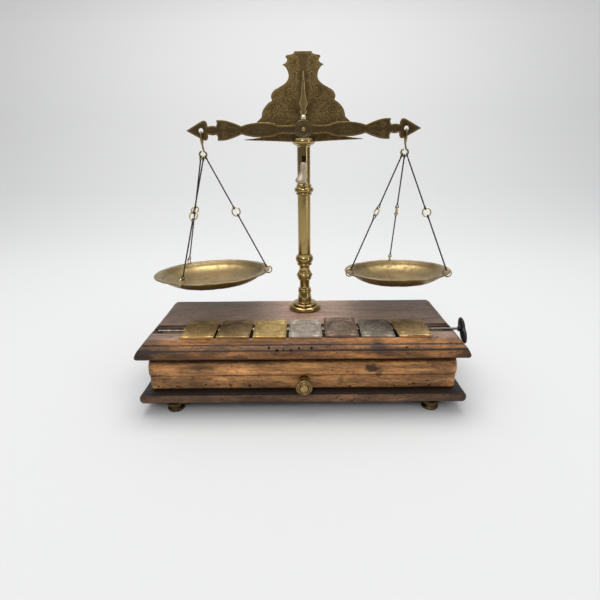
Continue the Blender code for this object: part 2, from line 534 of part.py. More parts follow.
for side, sx in (("left", -1), ("right", 1)):
    hx = COL_X + sx * ARM
    strand = PIVOT_Z - (2.35 - HOOK_R - GAP)
    hook_at = (hx, COL_Y, PIVOT_Z)
    loop = Vector((0, 0, HOOK_LOOP_Z - PIVOT_Z))
    z0 = strand - PIVOT_Z
    path = [(0, -1.4, -12.2), (0, -2.5, -11.0), (0, -3.1, -8.6), (0, -3.2, -5.0), (0, -2.9, z0 - 1.4),
            (0, -2.0, z0 - 0.3), (0, -0.8, z0), (0, 0.8, z0), (0, 2.0, z0 - 0.3), (0, 2.9, z0 - 1.4),
            (0, 3.2, -5.0), (0, 3.0, -8.6), (0, 2.0, -11.2), (0, 0.7, -12.8)]
    low = eye(loop, Vector((0, 0, 1)), Vector((0, 1, 0)), HOOK_LOOP_R, 1.2, 12)
    path = [Vector(p) for p in path] + list(reversed(low[:-1]))
    add("hook_" + side, sweep(path, HOOK_R, 6), hook_at, "brass", smooth=True)

    hang = Vector((hx, COL_Y, HOOK_LOOP_Z))
    hang_at = (hx, COL_Y, HOOK_LOOP_Z - HOOK_LOOP_R)
    pan_at = Vector((hx, COL_Y, RIM_Z))
    turn = pan_turn(side)
    R = PAN_R[side]
    T = PAN_T[side]
    angles = PAN_HOLES[side]
    order = sorted(range(3), key=lambda i: math.cos(math.radians(angles[i])))
    for i, angle in enumerate(angles):
        n = str(i + 1)
        swing = math.radians(-90 + 46 * (order.index(i) - 1))
        knot = hang + HOOK_LOOP_R * Vector((math.cos(swing), 0, math.sin(swing)))
        strand_dir = Vector((-math.sin(swing), 0, math.cos(swing)))
        az = math.radians(angle)
        radial = turn @ Vector((math.cos(az), math.sin(az), 0))
        upward = turn @ Vector((0, 0, 1))
        across = radial.cross(upward).normalized()
        rim_eye = pan_at + radial * (R - 0.3) + upward * (2.5 - T)
        d = (rim_eye - knot).normalized()
        n_top = (strand_dir - d * strand_dir.dot(d)).normalized()
        n_low = (across - d * across.dot(d)).normalized()
        e1 = knot + (TOP_EYE_R - WIRE_R - HOOK_R - 0.45) * d
        e2 = e1 + UPPER_LEN[side][i] * d
        step = RING_R + (EYE_R - WIRE_R - RING_WIRE - GAP)
        mid = e2 + step * d
        e3 = mid + step * d
        origin = Vector(hang_at)
        top = eye(e1 - origin, d, n_top, TOP_EYE_R, 1.4, 8)
        low = eye(e2 - origin, -d, n_low, EYE_R, 1.2, 7)
        path = top + list(reversed(low))
        add("wire_%s_upper_%s" % (side, n), sweep(path, WIRE_R, 5), hang_at, "wire", smooth=True)
        ring_side = d.cross(n_low).normalized()
        ring = [mid - origin + RING_R * (math.cos(a) * d + math.sin(a) * n_low)
                for a in (math.tau * k / 16 for k in range(16))]
        add("ring_%s_%s" % (side, n), sweep(ring, RING_WIRE, 5, True, ring_side), hang_at, "brass", smooth=True)
        top = eye(e3 - origin, d, n_low, EYE_R, 1.2, 7)
        low = eye(rim_eye - origin, -d, n_low, RIM_RING_R, 1.4, 10)
        path = top + list(reversed(low))
        add("wire_%s_lower_%s" % (side, n), sweep(path, WIRE_R, 5), hang_at, "wire", smooth=True)

    bowl = [(0.0, -12.6), (0.34, -12.4), (0.54, -11.4), (0.70, -9.2), (0.82, -5.6), (0.888, -1.2),
            (0.908, 0.0), (0.992, 0.0), (1.0, -0.4), (1.0, -1.0), (0.994, -T), (0.904, -T - 0.1),
            (0.872, -2.6), (0.812, -6.8), (0.694, -10.4), (0.538, -12.6), (0.34, -13.6), (0.0, -13.8)]
    profile = [(r * R, z) for r, z in bowl]
    pan = turned("pan_" + side, profile, pan_at, "brass", 32)
    pan.rotation_euler = turn.to_euler()
    for i, angle in enumerate(angles):
        az = math.radians(angle)
        at = pan_at + turn @ Vector(((R - 3.6) * math.cos(az), (R - 3.6) * math.sin(az), 0))
        drill = cutter("cut_pan_%s_%d" % (side, i + 1), cylinder(1.7, -4, 4, 12), at,
                       turn=turn.to_euler())
        boolean(pan, drill)
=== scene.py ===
import math

import bmesh
import bpy
import numpy as np
from mathutils import Matrix, Vector, geometry
from mathutils.kdtree import KDTree


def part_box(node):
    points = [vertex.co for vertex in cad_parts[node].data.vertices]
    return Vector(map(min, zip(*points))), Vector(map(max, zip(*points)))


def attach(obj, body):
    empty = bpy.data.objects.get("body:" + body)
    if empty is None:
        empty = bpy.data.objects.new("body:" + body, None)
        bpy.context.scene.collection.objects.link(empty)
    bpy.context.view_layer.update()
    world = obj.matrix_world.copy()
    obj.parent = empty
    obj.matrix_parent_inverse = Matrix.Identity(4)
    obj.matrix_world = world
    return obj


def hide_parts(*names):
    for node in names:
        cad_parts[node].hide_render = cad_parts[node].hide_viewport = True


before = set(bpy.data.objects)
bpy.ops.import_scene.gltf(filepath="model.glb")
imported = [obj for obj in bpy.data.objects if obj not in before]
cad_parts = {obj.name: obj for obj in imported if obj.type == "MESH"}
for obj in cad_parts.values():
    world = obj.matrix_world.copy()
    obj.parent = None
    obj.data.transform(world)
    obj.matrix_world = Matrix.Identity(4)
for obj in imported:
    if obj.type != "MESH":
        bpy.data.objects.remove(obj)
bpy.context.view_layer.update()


# ---- Where things stand ----
# The box's middle comes from the top board, and the column's axis from its foot.
# Points below are millimetres from the middle of the box, or from a named axis.
board_low, board_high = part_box("top_board")
box_mid = Vector(((board_low.x + board_high.x) / 2, (board_low.y + board_high.y) / 2, 0))
foot_low, foot_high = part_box("column_base")
column_axis = Vector(((foot_low.x + foot_high.x) / 2, (foot_low.y + foot_high.y) / 2, 0))
pin_low, pin_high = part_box("pivot_pin")
pivot = (pin_low + pin_high) / 2


def from_box(x, y, z):
    return box_mid + Vector((x, y, z)) / 1000


def from_column(x, y, z):
    return column_axis + Vector((x, y, z)) / 1000


# ---- Camera ----
# A wide hand-held view from in front of the drawer, a little below the height of the beam.
# The three turns are in radians; roll is how far the hand tips the view to one side.
camera_data = bpy.data.cameras.new("camera")
camera_data.lens = 24.72
camera_data.sensor_width = 36.0
camera_data.clip_start = 0.01
camera = bpy.data.objects.new("camera", camera_data)
bpy.context.scene.collection.objects.link(camera)
yaw, pitch, roll = 0.0079, 0.352, 0.0118
flat_right = Vector((math.cos(yaw), math.sin(yaw), 0))
ahead = Vector((-math.sin(yaw) * math.cos(pitch), math.cos(yaw) * math.cos(pitch), -math.sin(pitch)))
flat_up = flat_right.cross(ahead)
right_dir = math.cos(roll) * flat_right - math.sin(roll) * flat_up
up_dir = math.sin(roll) * flat_right + math.cos(roll) * flat_up
turn = Matrix((right_dir, up_dir, -ahead)).transposed()
camera.matrix_world = Matrix.Translation(from_box(1.3, -393.8, 235.1)) @ turn.to_4x4()
bpy.context.scene.camera = camera


# ---- Floor and light ----
# A white sweep under a large soft light; the room is bright above and dim at eye level,
# which gives the turned brass its dark and light bands.
rows = [(-1.6, 0.0), (0.70, 0.0)]
rows += [(0.70 + 0.9 * math.sin(a), 0.9 - 0.9 * math.cos(a)) for a in np.linspace(0.1, 0.95, 10)]
rows += [(2.9, 2.5)]
sweep = bpy.data.meshes.new("floor")
sweep.from_pydata([(x, y, z) for y, z in rows for x in (-3.0, 3.0)], [],
                  [(2 * i, 2 * i + 1, 2 * i + 3, 2 * i + 2) for i in range(len(rows) - 1)])
for face in sweep.polygons:
    face.use_smooth = True
floor = bpy.data.objects.new("floor", sweep)
bpy.context.scene.collection.objects.link(floor)
floor_paint = bpy.data.materials.new("floor_paint")
floor_paint.use_nodes = True
floor_shader = floor_paint.node_tree.nodes["Principled BSDF"]
# The paint is darker on the floor and lighter up the wall: painted light that evens out the key light, which
# falls mostly on the floor.
floor_height = floor_paint.node_tree.nodes.new("ShaderNodeSeparateXYZ")
floor_coords = floor_paint.node_tree.nodes.new("ShaderNodeTexCoord")
floor_paint.node_tree.links.new(floor_coords.outputs["Object"], floor_height.inputs[0])
painted_floor_light = floor_paint.node_tree.nodes.new("ShaderNodeValToRGB")
floor_paint.node_tree.links.new(floor_height.outputs[2], painted_floor_light.inputs[0])
painted_floor_light.color_ramp.elements[0].position = 0.10
painted_floor_light.color_ramp.elements[0].color = (0.635, 0.643, 0.653, 1)
painted_floor_light.color_ramp.elements[1].position = 0.75
painted_floor_light.color_ramp.elements[1].color = (0.82, 0.826, 0.834, 1)
floor_paint.node_tree.links.new(painted_floor_light.outputs[0], floor_shader.inputs["Base Color"])
floor_shader.inputs["Roughness"].default_value = 0.8
floor_shader.inputs["Specular IOR Level"].default_value = 0.2
floor.data.materials.append(floor_paint)

bpy.context.scene.view_settings.view_transform = "Standard"
world = bpy.data.worlds.new("room")
bpy.context.scene.world = world
world.use_nodes = True
room = world.node_tree
height = room.nodes.new("ShaderNodeSeparateXYZ")
room.links.new(room.nodes.new("ShaderNodeTexCoord").outputs["Generated"], height.inputs[0])
shade = room.nodes.new("ShaderNodeValToRGB")
shade.color_ramp.elements[0].position, shade.color_ramp.elements[0].color = 0.0, (0.25, 0.25, 0.26, 1)
shade.color_ramp.elements[1].position, shade.color_ramp.elements[1].color = 0.75, (1.0, 1.0, 1.0, 1)
shade.color_ramp.elements.new(0.22).color = (0.17, 0.17, 0.18, 1)
room.links.new(height.outputs[2], shade.inputs[0])
room.links.new(shade.outputs[0], room.nodes["Background"].inputs["Color"])
room.nodes["Background"].inputs["Strength"].default_value = 0.75


def soft_light(name, place, target, size, power, colour):
    data = bpy.data.lights.new(name, "AREA")
    data.shape = "RECTANGLE"
    data.size, data.size_y = size
    data.energy = power
    data.color = colour
    lamp = bpy.data.objects.new(name, data)
    lamp.location = place
    lamp.rotation_euler = (Vector(target) - Vector(place)).to_track_quat("-Z", "Y").to_euler()
    bpy.context.scene.collection.objects.link(lamp)


soft_light("key_light", (-0.05, 0.40, 1.8), (0, 0.05, 0.0), (1.4, 1.0), 26.0, (1.0, 0.985, 0.96))
soft_light("front_light", (-0.35, -1.3, 1.2), (0, 0, 0.12), (0.6, 0.6), 5.0, (1.0, 0.99, 0.97))
soft_light("right_window", (1.1, -0.75, 0.45), (0, 0, 0.18), (0.22, 1.1), 2.2, (1.0, 1.0, 1.0))


# ---- Wood finish ----
# Old walnut, waxed and rubbed: long grain along the box, open pores, worm holes
# and dark stains. Every wooden piece uses this grain with its own colours.
def put(tree, kind, inputs=None, **settings):
    """Adds a shader node; inputs are values or sockets, by name or number."""
    node = tree.nodes.new(kind)
    for key, value in settings.items():
        setattr(node, key, value)
    for key, value in (inputs or {}).items():
        if isinstance(value, bpy.types.NodeSocket):
            tree.links.new(value, node.inputs[key])
        else:
            node.inputs[key].default_value = value
    return node


def sums(tree, operation, a, b=0.0, c=0.0, clamp=False):
    return put(tree, "ShaderNodeMath", {0: a, 1: b, 2: c}, operation=operation, use_clamp=clamp).outputs[0]


def step(tree, value, low, high):
    """0 below low, 1 above high, smooth between."""
    node = put(tree, "ShaderNodeMapRange", {0: value, 1: low, 2: high, 3: 0.0, 4: 1.0},
               interpolation_type="SMOOTHSTEP")
    return node.outputs[0]


def blend_colour(tree, factor, a, b, how="MIX"):
    node = put(tree, "ShaderNodeMix", {0: factor, 6: a, 7: b}, data_type="RGBA", blend_type=how)
    return node.outputs[2]


def stretched(tree, vector, scale):
    return put(tree, "ShaderNodeVectorMath", {0: vector, 1: scale}, operation="MULTIPLY").outputs[0]


def noise(tree, vector, scale, detail=4.0, rough=0.55, distortion=0.0):
    return put(tree, "ShaderNodeTexNoise", {"Vector": vector, "Scale": scale, "Detail": detail,
                                            "Roughness": rough, "Distortion": distortion}).outputs[0]


def new_group(name, inputs, outputs):
    tree = bpy.data.node_groups.new(name, "ShaderNodeTree")
    for label, kind in inputs:
        tree.interface.new_socket(label, in_out="INPUT", socket_type=kind)
    for label, kind in outputs:
        tree.interface.new_socket(label, in_out="OUTPUT", socket_type=kind)
    return tree, tree.nodes.new("NodeGroupInput").outputs, tree.nodes.new("NodeGroupOutput").inputs


def make_wood_grain():
    tree, given, out = new_group(
        "wood_grain",
        [("Place", "NodeSocketVector"), ("Light", "NodeSocketColor"), ("Dark", "NodeSocketColor"),
         ("Stain", "NodeSocketFloat"), ("Rubbed", "NodeSocketFloat"), ("Pores", "NodeSocketFloat"),
         ("Worm", "NodeSocketFloat")],
        [("Color", "NodeSocketColor"), ("Roughness", "NodeSocketFloat"), ("Height", "NodeSocketFloat")])
    place = given["Place"]
    drift = noise(tree, stretched(tree, place, (5.0, 26.0, 26.0)), 1.0, 3.0)
    bent = put(tree, "ShaderNodeCombineXYZ", {1: sums(tree, "MULTIPLY", drift, 0.030),
                                              2: sums(tree, "MULTIPLY", drift, 0.022)}).outputs[0]
    curved = put(tree, "ShaderNodeVectorMath", {0: place, 1: bent}, operation="ADD").outputs[0]
    rings = noise(tree, stretched(tree, curved, (26.0, 260.0, 260.0)), 1.0, 6.0, 0.70, 0.5)
    bands = noise(tree, stretched(tree, curved, (8.0, 90.0, 90.0)), 1.0, 3.0, 0.55, 0.8)
    fibres = noise(tree, stretched(tree, curved, (140.0, 1300.0, 1300.0)), 1.0, 3.0, 0.6)
    stain = noise(tree, stretched(tree, place, (16.0, 30.0, 30.0)), 1.0, 5.0, 0.6, 0.5)
    knots = noise(tree, stretched(tree, place, (9.0, 40.0, 40.0)), 1.0, 3.0, 0.5, 1.6)
    mottle = noise(tree, stretched(tree, curved, (240.0, 900.0, 900.0)), 1.0, 3.0, 0.65, 0.6)
    tone = sums(tree, "ADD", sums(tree, "MULTIPLY", rings, 0.36), sums(tree, "MULTIPLY", bands, 0.20))
    fine = sums(tree, "MULTIPLY_ADD", fibres, 0.20, sums(tree, "MULTIPLY", mottle, 0.24))
    tone = sums(tree, "ADD", tone, fine)
    tone = step(tree, tone, 0.38, 0.61)
    colour = blend_colour(tree, tone, given["Dark"], given["Light"])
    rubbed = noise(tree, stretched(tree, place, (13.0, 34.0, 34.0)), 1.0, 4.0, 0.6, 0.8)
    rubbed = sums(tree, "MULTIPLY_ADD", step(tree, rubbed, 0.36, 0.66), 0.85, -0.43)
    rubbed = sums(tree, "MULTIPLY_ADD", rubbed, given["Rubbed"], 0.95)
    colour = put(tree, "ShaderNodeVectorMath", {0: colour, 3: rubbed}, operation="SCALE").outputs[0]
    patch = sums(tree, "MULTIPLY", step(tree, stain, 0.50, 0.66), given["Stain"])
    colour = blend_colour(tree, patch, colour, (0.026, 0.014, 0.010, 1))
    dark_knot = sums(tree, "MULTIPLY", step(tree, knots, 0.62, 0.72), given["Stain"])
    colour = blend_colour(tree, dark_knot, colour, (0.014, 0.008, 0.006, 1))
    flecks = noise(tree, stretched(tree, curved, (110.0, 760.0, 760.0)), 1.0, 2.0, 0.6)
    fleck = sums(tree, "MULTIPLY", step(tree, flecks, 0.585, 0.68), given["Pores"])
    colour = blend_colour(tree, sums(tree, "MULTIPLY", fleck, 0.62), colour, (0.020, 0.011, 0.008, 1))
    scars = noise(tree, stretched(tree, place, (120.0, 330.0, 330.0)), 1.0, 6.0, 0.7, 1.4)
    scar = sums(tree, "MULTIPLY", step(tree, scars, 0.60, 0.66), step(tree, stain, 0.44, 0.56))
    colour = blend_colour(tree, sums(tree, "MULTIPLY", scar, 0.85), colour, (0.010, 0.006, 0.005, 1))
    cells = put(tree, "ShaderNodeTexVoronoi",
                {"Vector": stretched(tree, curved, (62.0, 520.0, 520.0)), "Scale": 1.0})
    pore = sums(tree, "SUBTRACT", 1.0, step(tree, cells.outputs["Distance"], 0.06, 0.26))
    pore = sums(tree, "MULTIPLY", pore, sums(tree, "MULTIPLY", step(tree, rings, 0.42, 0.58), given["Pores"]))
    colour = blend_colour(tree, sums(tree, "MULTIPLY", pore, 0.85), colour, (0.012, 0.007, 0.005, 1))
    wander = put(tree, "ShaderNodeTexNoise", {"Vector": place, "Scale": 300.0}).outputs[1]
    near = put(tree, "ShaderNodeVectorMath", {0: wander, 1: (0.0006, 0.0006, 0.0006)}, operation="MULTIPLY")
    spot = put(tree, "ShaderNodeVectorMath", {0: place, 1: near.outputs[0]}, operation="ADD").outputs[0]
    holes = put(tree, "ShaderNodeTexVoronoi", {"Vector": stretched(tree, spot, (0.8, 1.0, 1.0)),
                                               "Scale": 78.0})
    picked = put(tree, "ShaderNodeSeparateColor", {0: holes.outputs["Color"]})
    cluster = noise(tree, place, 17.0, 2.0)
    crowded = sums(tree, "MULTIPLY_ADD", cluster, 0.9, picked.outputs[0])
    chosen = sums(tree, "GREATER_THAN", crowded, 1.02)
    size = sums(tree, "MULTIPLY_ADD", picked.outputs[1], 0.045, 0.028)
    inside = sums(tree, "SUBTRACT", holes.outputs["Distance"], size)
    hole = sums(tree, "SUBTRACT", 1.0, step(tree, inside, -0.012, 0.018))
    hole = sums(tree, "MULTIPLY", sums(tree, "MULTIPLY", hole, chosen), given["Worm"])
    colour = blend_colour(tree, hole, colour, (0.006, 0.004, 0.003, 1))
    tree.links.new(colour, out["Color"])
    rough = sums(tree, "MULTIPLY_ADD", fibres, 0.30, 0.38)
    rough = sums(tree, "ADD", rough, sums(tree, "MULTIPLY", patch, -0.06))
    tree.links.new(sums(tree, "ADD", rough, sums(tree, "MULTIPLY", hole, 0.4), clamp=True), out["Roughness"])
    height = sums(tree, "MULTIPLY_ADD", rings, 0.35, sums(tree, "MULTIPLY", fibres, 0.20))
    height = sums(tree, "SUBTRACT", height, sums(tree, "MULTIPLY", pore, 0.5))
    nicks = sums(tree, "MULTIPLY_ADD", scar, 0.9, sums(tree, "MULTIPLY", fleck, 0.3))
    height = sums(tree, "SUBTRACT", height, nicks)
    height = sums(tree, "SUBTRACT", height, sums(tree, "MULTIPLY", hole, 2.2))
    tree.links.new(height, out["Height"])
    return tree


wood_grain = make_wood_grain()


def wood(name, light, dark, stain=0.5, pores=1.0, worm=1.0, shift=(0, 0, 0), ends=None, front=None, shade_lines=(),
         knots=()):
    """A waxed wood. ends darkens past a length; front gives the colours of the faces before a depth;
    the shade line list gives (height, half width, strength) of dark lines of painted shade along creases,
    gaps and hollows;
    knots lists dark patches as (x, height, reach along, reach up, strength); some of them are painted shade."""
    material = bpy.data.materials.new(name)
    material.use_nodes = True
    tree = material.node_tree
    shader = tree.nodes["Principled BSDF"]
    coords = put(tree, "ShaderNodeTexCoord").outputs["Object"]
    place = put(tree, "ShaderNodeMapping", {"Vector": coords, "Location": shift}).outputs[0]
    axes = put(tree, "ShaderNodeSeparateXYZ", {0: coords}).outputs
    light_colour, dark_colour = (*light, 1), (*dark, 1)
    reach, wear = 1.0, 1.0
    if front:
        edge, front_light, front_dark = front
        wavy = sums(tree, "MULTIPLY_ADD", noise(tree, coords, 40.0), 0.006, -0.003)
        reach = step(tree, sums(tree, "ADD", axes[1], wavy), edge + 0.0015, edge - 0.0015)
        light_colour = blend_colour(tree, reach, light_colour, (*front_light, 1))
        dark_colour = blend_colour(tree, reach, dark_colour, (*front_dark, 1))
        wear = sums(tree, "MULTIPLY_ADD", reach, 0.70, 0.30)
        stain = sums(tree, "MULTIPLY", wear, stain)
    grain = put(tree, "ShaderNodeGroup", {}, node_tree=wood_grain)
    for key, value in (("Place", place), ("Light", light_colour), ("Dark", dark_colour), ("Stain", stain),
                       ("Rubbed", wear), ("Pores", pores), ("Worm", worm)):
        if isinstance(value, bpy.types.NodeSocket):
            tree.links.new(value, grain.inputs[key])
        else:
            grain.inputs[key].default_value = value
    colour = grain.outputs["Color"]
    if ends:
        along = sums(tree, "ABSOLUTE", axes[0])
        wavy = sums(tree, "MULTIPLY_ADD", noise(tree, coords, 22.0, 5.0), 0.05, -0.025)
        far = step(tree, sums(tree, "ADD", along, wavy), ends[0], ends[1])
        colour = blend_colour(tree, sums(tree, "MULTIPLY", far, ends[2]), colour, (0.030, 0.018, 0.013, 1))
    frayed = noise(tree, stretched(tree, coords, (90.0, 260.0, 260.0)), 1.0, 4.0, 0.6, 1.0)
    # Dark patches; a piece may list painted shade among them.
    for x, level, along, up, strength in knots:
        dx = sums(tree, "DIVIDE", sums(tree, "SUBTRACT", axes[0], x), along)
        dz = sums(tree, "DIVIDE", sums(tree, "SUBTRACT", axes[2], level), up)
        away = sums(tree, "ADD", sums(tree, "MULTIPLY", dx, dx), sums(tree, "MULTIPLY", dz, dz))
        away = sums(tree, "SQRT", away)
        away = sums(tree, "ADD", away, sums(tree, "MULTIPLY_ADD", frayed, 1.8, -0.9))
        mark = sums(tree, "MULTIPLY", step(tree, away, 1.0, 0.45), sums(tree, "MULTIPLY", reach, strength))
        colour = blend_colour(tree, mark, colour, (0.016, 0.008, 0.005, 1))
    # Dark lines of painted shade along creases, gaps and hollows at the listed heights, made ragged by noise.
    ragged = noise(tree, coords, 120.0, 3.0)
    for level, half, strength in shade_lines:
        off = sums(tree, "ABSOLUTE", sums(tree, "SUBTRACT", axes[2], level))
        off = sums(tree, "ADD", off, sums(tree, "MULTIPLY_ADD", ragged, half * 0.8, -half * 0.4))
        line = sums(tree, "MULTIPLY", step(tree, off, half, half * 0.3), strength)
        colour = blend_colour(tree, line, colour, (0.008, 0.005, 0.004, 1))
    tree.links.new(colour, shader.inputs["Base Color"])
    tree.links.new(grain.outputs["Roughness"], shader.inputs["Roughness"])
    shader.inputs["Specular IOR Level"].default_value = 0.32
    shader.inputs["Coat Weight"].default_value = 0.14
    shader.inputs["Coat Roughness"].default_value = 0.26
    bump = put(tree, "ShaderNodeBump", {"Height": grain.outputs["Height"], "Strength": 0.55,
                                        "Distance": 0.0006})
    tree.links.new(bump.outputs[0], shader.inputs["Normal"])
    return material


# ---- Top board ----
# One walnut plank with a moulded edge worked all round, grooved along its length for
# the lock rod, with a wider trough where the weights hang. The front edge is rubbed bright;
# the top faces are painted lighter and greyer, partly as a painted sheen.
def rounded(points, steps=4):
    """A line through the points; a point with a third value stays a corner."""
    out = []
    last = len(points) - 1
    for i in range(last):
        a, b = np.array(points[i][:2], float), np.array(points[i + 1][:2], float)
        hard_a = i == 0 or len(points[i]) > 2
        hard_b = i + 1 == last or len(points[i + 1]) > 2
        ma = b - a if hard_a else (b - np.array(points[i - 1][:2], float)) / 2
        mb = b - a if hard_b else (np.array(points[i + 2][:2], float) - a) / 2
        for k in range(steps):
            t = k / steps
            out.append(tuple((2 * t**3 - 3 * t**2 + 1) * a + (t**3 - 2 * t**2 + t) * ma
                             + (3 * t**2 - 2 * t**3) * b + (t**3 - t**2) * mb))
    out.append(tuple(np.array(points[-1][:2], float)))
    return out


def object_from(name, bm, material, crease=32):
    """A smooth-shaded object at the origin, normals outwards."""
    bmesh.ops.remove_doubles(bm, verts=bm.verts, dist=1e-7)
    bmesh.ops.recalc_face_normals(bm, faces=bm.faces)
    mesh = bpy.data.meshes.new(name)
    bm.to_mesh(mesh)
    bm.free()
    for face in mesh.polygons:
        face.use_smooth = True
    mesh.set_sharp_from_angle(angle=math.radians(crease))
    mesh.materials.append(material)
    obj = bpy.data.objects.new(name, mesh)
    bpy.context.scene.collection.objects.link(obj)
    return obj


def fitted(obj, body, slot, *nodes):
    """The piece stands for these CAD nodes and moves with that body."""
    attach(obj, body)
    if nodes:
        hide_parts(*nodes)


def bridge(bm, rows, closed_rows=True, closed_ends=False):
    """Faces between rows of equally many vertices; open ends are capped."""
    n = len(rows[0])
    pairs = list(zip(rows, rows[1:]))
    if closed_ends:
        pairs.append((rows[-1], rows[0]))
    for low, high in pairs:
        for i in range(n if closed_rows else n - 1):
            j = (i + 1) % n
            bm.faces.new((low[i], low[j], high[j], high[i]))
    if not closed_ends:
        bm.faces.new(rows[0])
        bm.faces.new(list(reversed(rows[-1])))


def wobble(x, y, seed, size):
    """A slow hand-planed unevenness, in millimetres."""
    return size * (math.sin(x * 0.061 + seed) + 0.6 * math.sin(x * 0.143 + y * 0.11 + 2.3 * seed)
                   + 0.4 * math.sin(x * 0.31 + 1.7 * seed + y * 0.07)) / 2


def moulded_board(name, half_x, half_y, profile, material, seed):
    """A plank with a moulded edge; profile is (outwards, height) down the side."""
    bm = bmesh.new()
    rows = []
    for out, z in rounded(profile, 4):
        row = []
        hx, hy = half_x + out, half_y + out
        corner = 1.4
        sides = [((-hx + corner, -hy), (hx - corner, -hy), 60), ((hx, -hy + corner), (hx, hy - corner), 26),
                 ((hx - corner, hy), (-hx + corner, hy), 60), ((-hx, hy - corner), (-hx, -hy + corner), 26)]
        for (x0, y0), (x1, y1), count in sides:
            for k in range(count + 1):
                t = k / count
                x, y = x0 + (x1 - x0) * t, y0 + (y1 - y0) * t
                push = 1 + wobble(x + y, z, seed, 0.16) / half_y
                lift = wobble(x - y, 3.0, seed + 1.0, 0.10)
                row.append(bm.verts.new(from_box(x * push, y * push, z + lift)))
        rows.append(row)
    bridge(bm, rows)
    bmesh.ops.triangulate(bm, faces=[f for f in bm.faces if len(f.verts) > 4])
    return object_from(name, bm, material, 28)


def hollowed(obj, tools, how="DIFFERENCE"):
    """Cuts the tools out of obj and drops them."""
    for tool in tools:
        cut = obj.modifiers.new("cut", "BOOLEAN")
        cut.operation = how
        cut.solver = "EXACT"
        cut.object = tool
    bpy.context.view_layer.update()
    graph = bpy.context.evaluated_depsgraph_get()
    mesh = bpy.data.meshes.new_from_object(obj.evaluated_get(graph))
    obj.modifiers.clear()
    obj.data = mesh
    for tool in tools:
        bpy.data.objects.remove(tool, do_unlink=True)


def block(name, low, high, material, bevel=0.0):
    bm = bmesh.new()
    bmesh.ops.create_cube(bm, size=1.0)
    for v in bm.verts:
        v.co = Vector([high[k] if v.co[k] > 0 else low[k] for k in range(3)])
    if bevel:
        bmesh.ops.bevel(bm, geom=bm.edges[:], offset=bevel / 1000, segments=3, profile=0.5, affect="EDGES")
    return object_from(name, bm, material)


# The top faces' colours are lighter and greyer than the wood's own: partly its colour, partly a painted sheen
# of the bright room on the waxed top. The faces in front of the given depth get the wood's orange-brown.
board_wood = wood("board_wood", (0.44, 0.290, 0.205), (0.235, 0.148, 0.107), stain=0.50, worm=1.0,
                  ends=(0.110, 0.160, 0.50),
                  front=(box_mid.y - 0.0466, (0.49, 0.215, 0.062), (0.120, 0.045, 0.015)),
                  # Painted shade lines: under the moulding's lower lip, in the quirk below the top edge, and
                  # on the trough floor about the rod.
                  shade_lines=((0.0563, 0.0022, 0.75), (0.0676, 0.00045, 0.85), (0.0642, 0.0012, 0.92)),
                  # The first patch is painted shade, darkening the left part of the front edge away from the
                  # light on the right; the rest are dark marks.
                  knots=((-0.120, 0.0600, 0.060, 0.0110, 0.35), (-0.148, 0.0620, 0.016, 0.0060, 0.8),
                         (-0.112, 0.0600, 0.013, 0.0035, 0.6), (-0.062, 0.0590, 0.016, 0.0025, 0.5),
                         (0.068, 0.0672, 0.009, 0.0035, 0.6), (0.020, 0.0590, 0.030, 0.0022, 0.4),
                         (0.148, 0.0600, 0.012, 0.0050, 0.7)))
TOP_PROFILE = [(-0.6, 69.0), (0.0, 68.9), (0.35, 68.4), (0.45, 67.7, 1), (0.7, 67.55, 1), (1.9, 67.2),
               (3.8, 65.6), (5.4, 63.4), (6.7, 60.9), (7.5, 58.6), (7.4, 57.2), (6.6, 56.3), (5.2, 56.0)]
top_board = moulded_board("board_top", 145.0, 56.0, TOP_PROFILE, board_wood, 0.4)
trough_floor = 64.4
groove = block("groove", from_box(-170, -32, trough_floor), from_box(170, -12, 80), board_wood)
trough = block("trough", from_box(-115.6, -44.6, trough_floor + 0.02), from_box(122.4, -13, 80), board_wood)
stud_hole = block("stud_hole", from_column(-3, -3, 50), from_column(3, 3, 75), board_wood)
hollowed(top_board, [groove, trough, stud_hole])
top_board.data.set_sharp_from_angle(angle=math.radians(28))
fitted(top_board, "box", "wood", "top_board")



def wormed(obj, spots, y_face, material):
    """Bores a small round hole 2 mm deep into the front at each (x, height, size)."""
    widen = 1.25
    bm = bmesh.new()
    for i, (x, z, size) in enumerate(spots):
        turned = Matrix.Rotation(math.pi / 2, 4, "X")
        r = size * widen / 1000
        made = bmesh.ops.create_cone(bm, cap_ends=True, segments=9, radius1=r, radius2=r, depth=0.012)
        skew = Matrix.Diagonal((1.25 if i % 3 else 0.95, 1.0, 0.9, 1.0))
        at = from_box(x, y_face - 6.0 + 2.0, z)
        bmesh.ops.transform(bm, matrix=Matrix.Translation(at) @ skew @ turned, verts=made["verts"])
    hollowed(obj, [object_from("worm_holes", bm, material)])


# The bores are lined with a near-black wood: painted shade inside the worm holes.
bore_shade_wood = wood("bore_shade_wood", (0.030, 0.016, 0.010), (0.010, 0.006, 0.004), stain=0.2)
top_board.data.materials.append(bore_shade_wood)
for spot_y, spots in ((-59.3, [(-30.1, 66.3, 0.9)]),
                      (-60.6, [(-2.8, 65.7, 0.8), (8.6, 65.9, 0.9), (94.3, 65.9, 0.7)]),
                      (-61.6, [(-16.8, 64.9, 0.7), (-10.0, 64.4, 0.9), (-22.6, 64.4, 1.0)])):
    wormed(top_board, spots, spot_y, bore_shade_wood)
top_board.data.set_sharp_from_angle(angle=math.radians(28))

